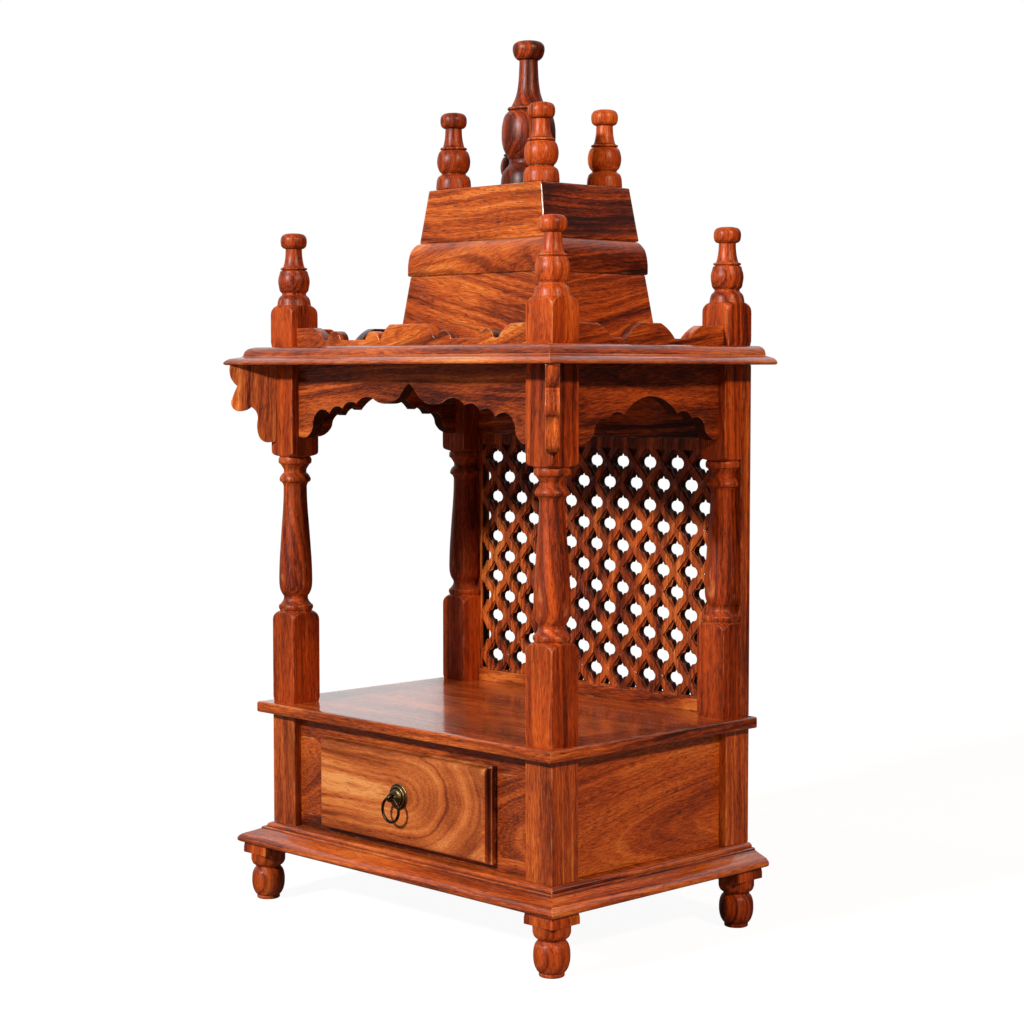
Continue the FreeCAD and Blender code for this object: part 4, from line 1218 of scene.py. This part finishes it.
# Patches meet at equal points, which become one
points, faces, wears = np.concatenate(parts), np.concatenate(faces), np.concatenate(wears)
_, keep, index = np.unique(np.round(points, 3), axis=0, return_index=True, return_inverse=True)
faces = index.ravel()[faces]
true = (faces[:, 0] != faces[:, 1]) & (faces[:, 1] != faces[:, 2]) & (faces[:, 2] != faces[:, 0])
add_piece("back_lattice", points[keep], faces[true].tolist(),
          from_log("z", (60, 40), (0.05, 0.02), 100), wears[keep], -0.06, "fretted_wood")
plain_board("back_rail_low", from_log("x", (26, 10), (0.02, 0.01), 450), -0.08)
plain_board("back_rail_top", from_log("x", (40, 20), (0.02, 0.02), 710), -0.2)
print("lattice", len(keep), "points", true.sum(), "triangles")

# %% [markdown]
# ## The drawer
# The face is a lighter board with arched figure right of its middle, because the log
# leaned away behind it. Its edge is stepped: a flat lip, a small cove and a rounded
# field. The box behind it is plain planed wood.

# %% Drawer face and box
x0, x1, y0, y1, z0, z1 = node_box("drawer_front")
steps = [(-1, 0), (-0.6, 0), (0, 0.6), (0, 6.4), (-0.9, 6.8), (-1.2, 7.4), (-1.9, 8.2),
         (-1.9, 9.8), [(-2.1, 11.6), (-3.6, 13.6), (-6.0, 14.5)], (-11, 14.5)]
line, bend = ease(trace((-4, 0), steps, 0.15), rub=0.32, bend=12, gap=8)
flat, faces, wear_and_shade = board_points(x0, x1, z0, z1, 0, line, bend, corner=0.8, r=0.6)
# The edge line was carried round the face as it lies, and here up becomes forwards
# The faces that look left or right get a tone of -0.5: painted shade on the side edges of the
# drawer face.
add_piece("drawer_front", np.stack([flat[:, 0], y1 - flat[:, 2], flat[:, 1]], 1), faces,
          from_log("x", (5, 5), (0.02, 0.02)), wear_and_shade, (0.0, -0.5), "drawer_face_wood")
for name, grain in (("drawer_side_left", "y"), ("drawer_side_right", "y"), ("drawer_back", "x"),
                    ("drawer_bottom", "x")):
    plain_board(name, from_log(grain, (22, 30), (0.03, 0.04), 70), slot="drawer_box_wood",
                r=0.6)
print("drawer done")

# %% [markdown]
# ## Antique brass
# The pull is cast brass with a dark chemical patina, rubbed bright on its high points.
# The eye gets a nearly black metal with a warm glint. It is a metal, so its colour is in
# its reflection, and the rubbing follows the wear of each edge.

# %% Brass and the ring pull
def antique_brass():
    made, tree = blank_material("antique_brass")
    wear_and_shade = add_node(tree, "Attribute", out="Fac", attribute_name="wear_and_shade")
    place = add_node(tree, "Attribute", out="Vector", attribute_name="grain")
    grit = add_node(tree, "TexNoise", {"Vector": place, "Scale": 0.55, "Detail": 4.0}, "Fac")
    rub = ranged(tree, maths(tree, "ADD", wear_and_shade, grit), 0.62, 1.45)
    rough = ranged(tree, grit, 0.3, 0.7, 0.28, 0.46)
    bump = add_node(tree, "Bump", {"Height": grit, "Distance": 0.0001, "Strength": 0.7})
    surface = add_node(tree, "BsdfPrincipled", {
        "Base Color": blend(tree, rub, "#2A2520", "#8A7048"), "Metallic": 1.0,
        "Roughness": rough, "Normal": bump})
    add_node(tree, "OutputMaterial", {"Surface": surface})
    materials["antique_brass"] = made


antique_brass()
x0, x1, y0, y1, z0, z1 = node_box("pull_rosette")
ry0, ry1, rz0, rz1 = node_box("pull_ring")[2:]
EYE = np.array([0.0, (ry0 + ry1) / 2, rz1 - 1.5])


def forwards(points):
    """From up to towards the front, about the rosette's middle on the drawer's face."""
    return np.stack([points[:, 0], y1 - points[:, 2], (z0 + z1) / 2 + points[:, 1]], 1)


def ring_surface(big, small, squash=1.0, rounds=64, sides=16):
    """A torus in the XZ plane: a small circle carried round a big one."""
    a, b = np.meshgrid(np.linspace(0, 2 * np.pi, rounds, endpoint=False),
                       np.linspace(0, 2 * np.pi, sides, endpoint=False), indexing="ij")
    reach = big + small * np.cos(b)
    return np.stack([reach * np.cos(a), small * squash * np.sin(b), reach * np.sin(a)], -1)


def ring_faces(rounds, sides, first=0, flip=False):
    a, b = np.meshgrid(np.arange(rounds), np.arange(sides), indexing="ij")
    c, d = (a + 1) % rounds, (b + 1) % sides
    quads = np.stack([a * sides + b, c * sides + b, c * sides + d, a * sides + d], -1)
    quads = quads.reshape(-1, 4) + first
    return (quads[:, ::-1] if flip else quads).tolist()


disc, disc_faces, disc_wear = turned_points((13.2, 0), [
    [(13.5, 0.5), (13.2, 1.3)], [(12.0, 1.7), (11.2, 1.9)], [(11.0, 2.9), (9.8, 3.3)],
    [(8.6, 3.4), (8.2, 3.7)], [(7.9, 4.8), (6.6, 5.6), (5.0, 6.2)], (3.4, 6.4), (3.3, 7.2),
    [(3.2, 8.2), (2.4, 9.0)], (0.5, 9.1)], gap=1.2)
eye = ring_surface(3.3, 1.15, 2.0, 40, 14)
eye_points = np.stack([eye[..., 1].ravel(), eye[..., 0].ravel(), eye[..., 2].ravel()], 1) + EYE
points = np.concatenate([forwards(disc), eye_points])
faces = disc_faces + ring_faces(40, 14, len(disc))
disc_wear = np.maximum(disc_wear, 0.15 + 0.3 * (disc[:, 2] > 5))
wear_and_shade = np.concatenate([disc_wear, np.full(len(eye_points), 0.25)])
add_piece("pull_rosette", points, faces, from_log("y", (0, 0)), wear_and_shade,
          slot="antique_brass", suffix="_brass")

ring = ring_surface(12.2, 1.5).reshape(-1, 3) + np.array([0, EYE[1], (rz0 + rz1) / 2])
add_piece("pull_ring", ring, ring_faces(64, 16, flip=True), from_log("y", (0, 0)), 0.2,
          slot="antique_brass", suffix="_brass")
print("ring pull done")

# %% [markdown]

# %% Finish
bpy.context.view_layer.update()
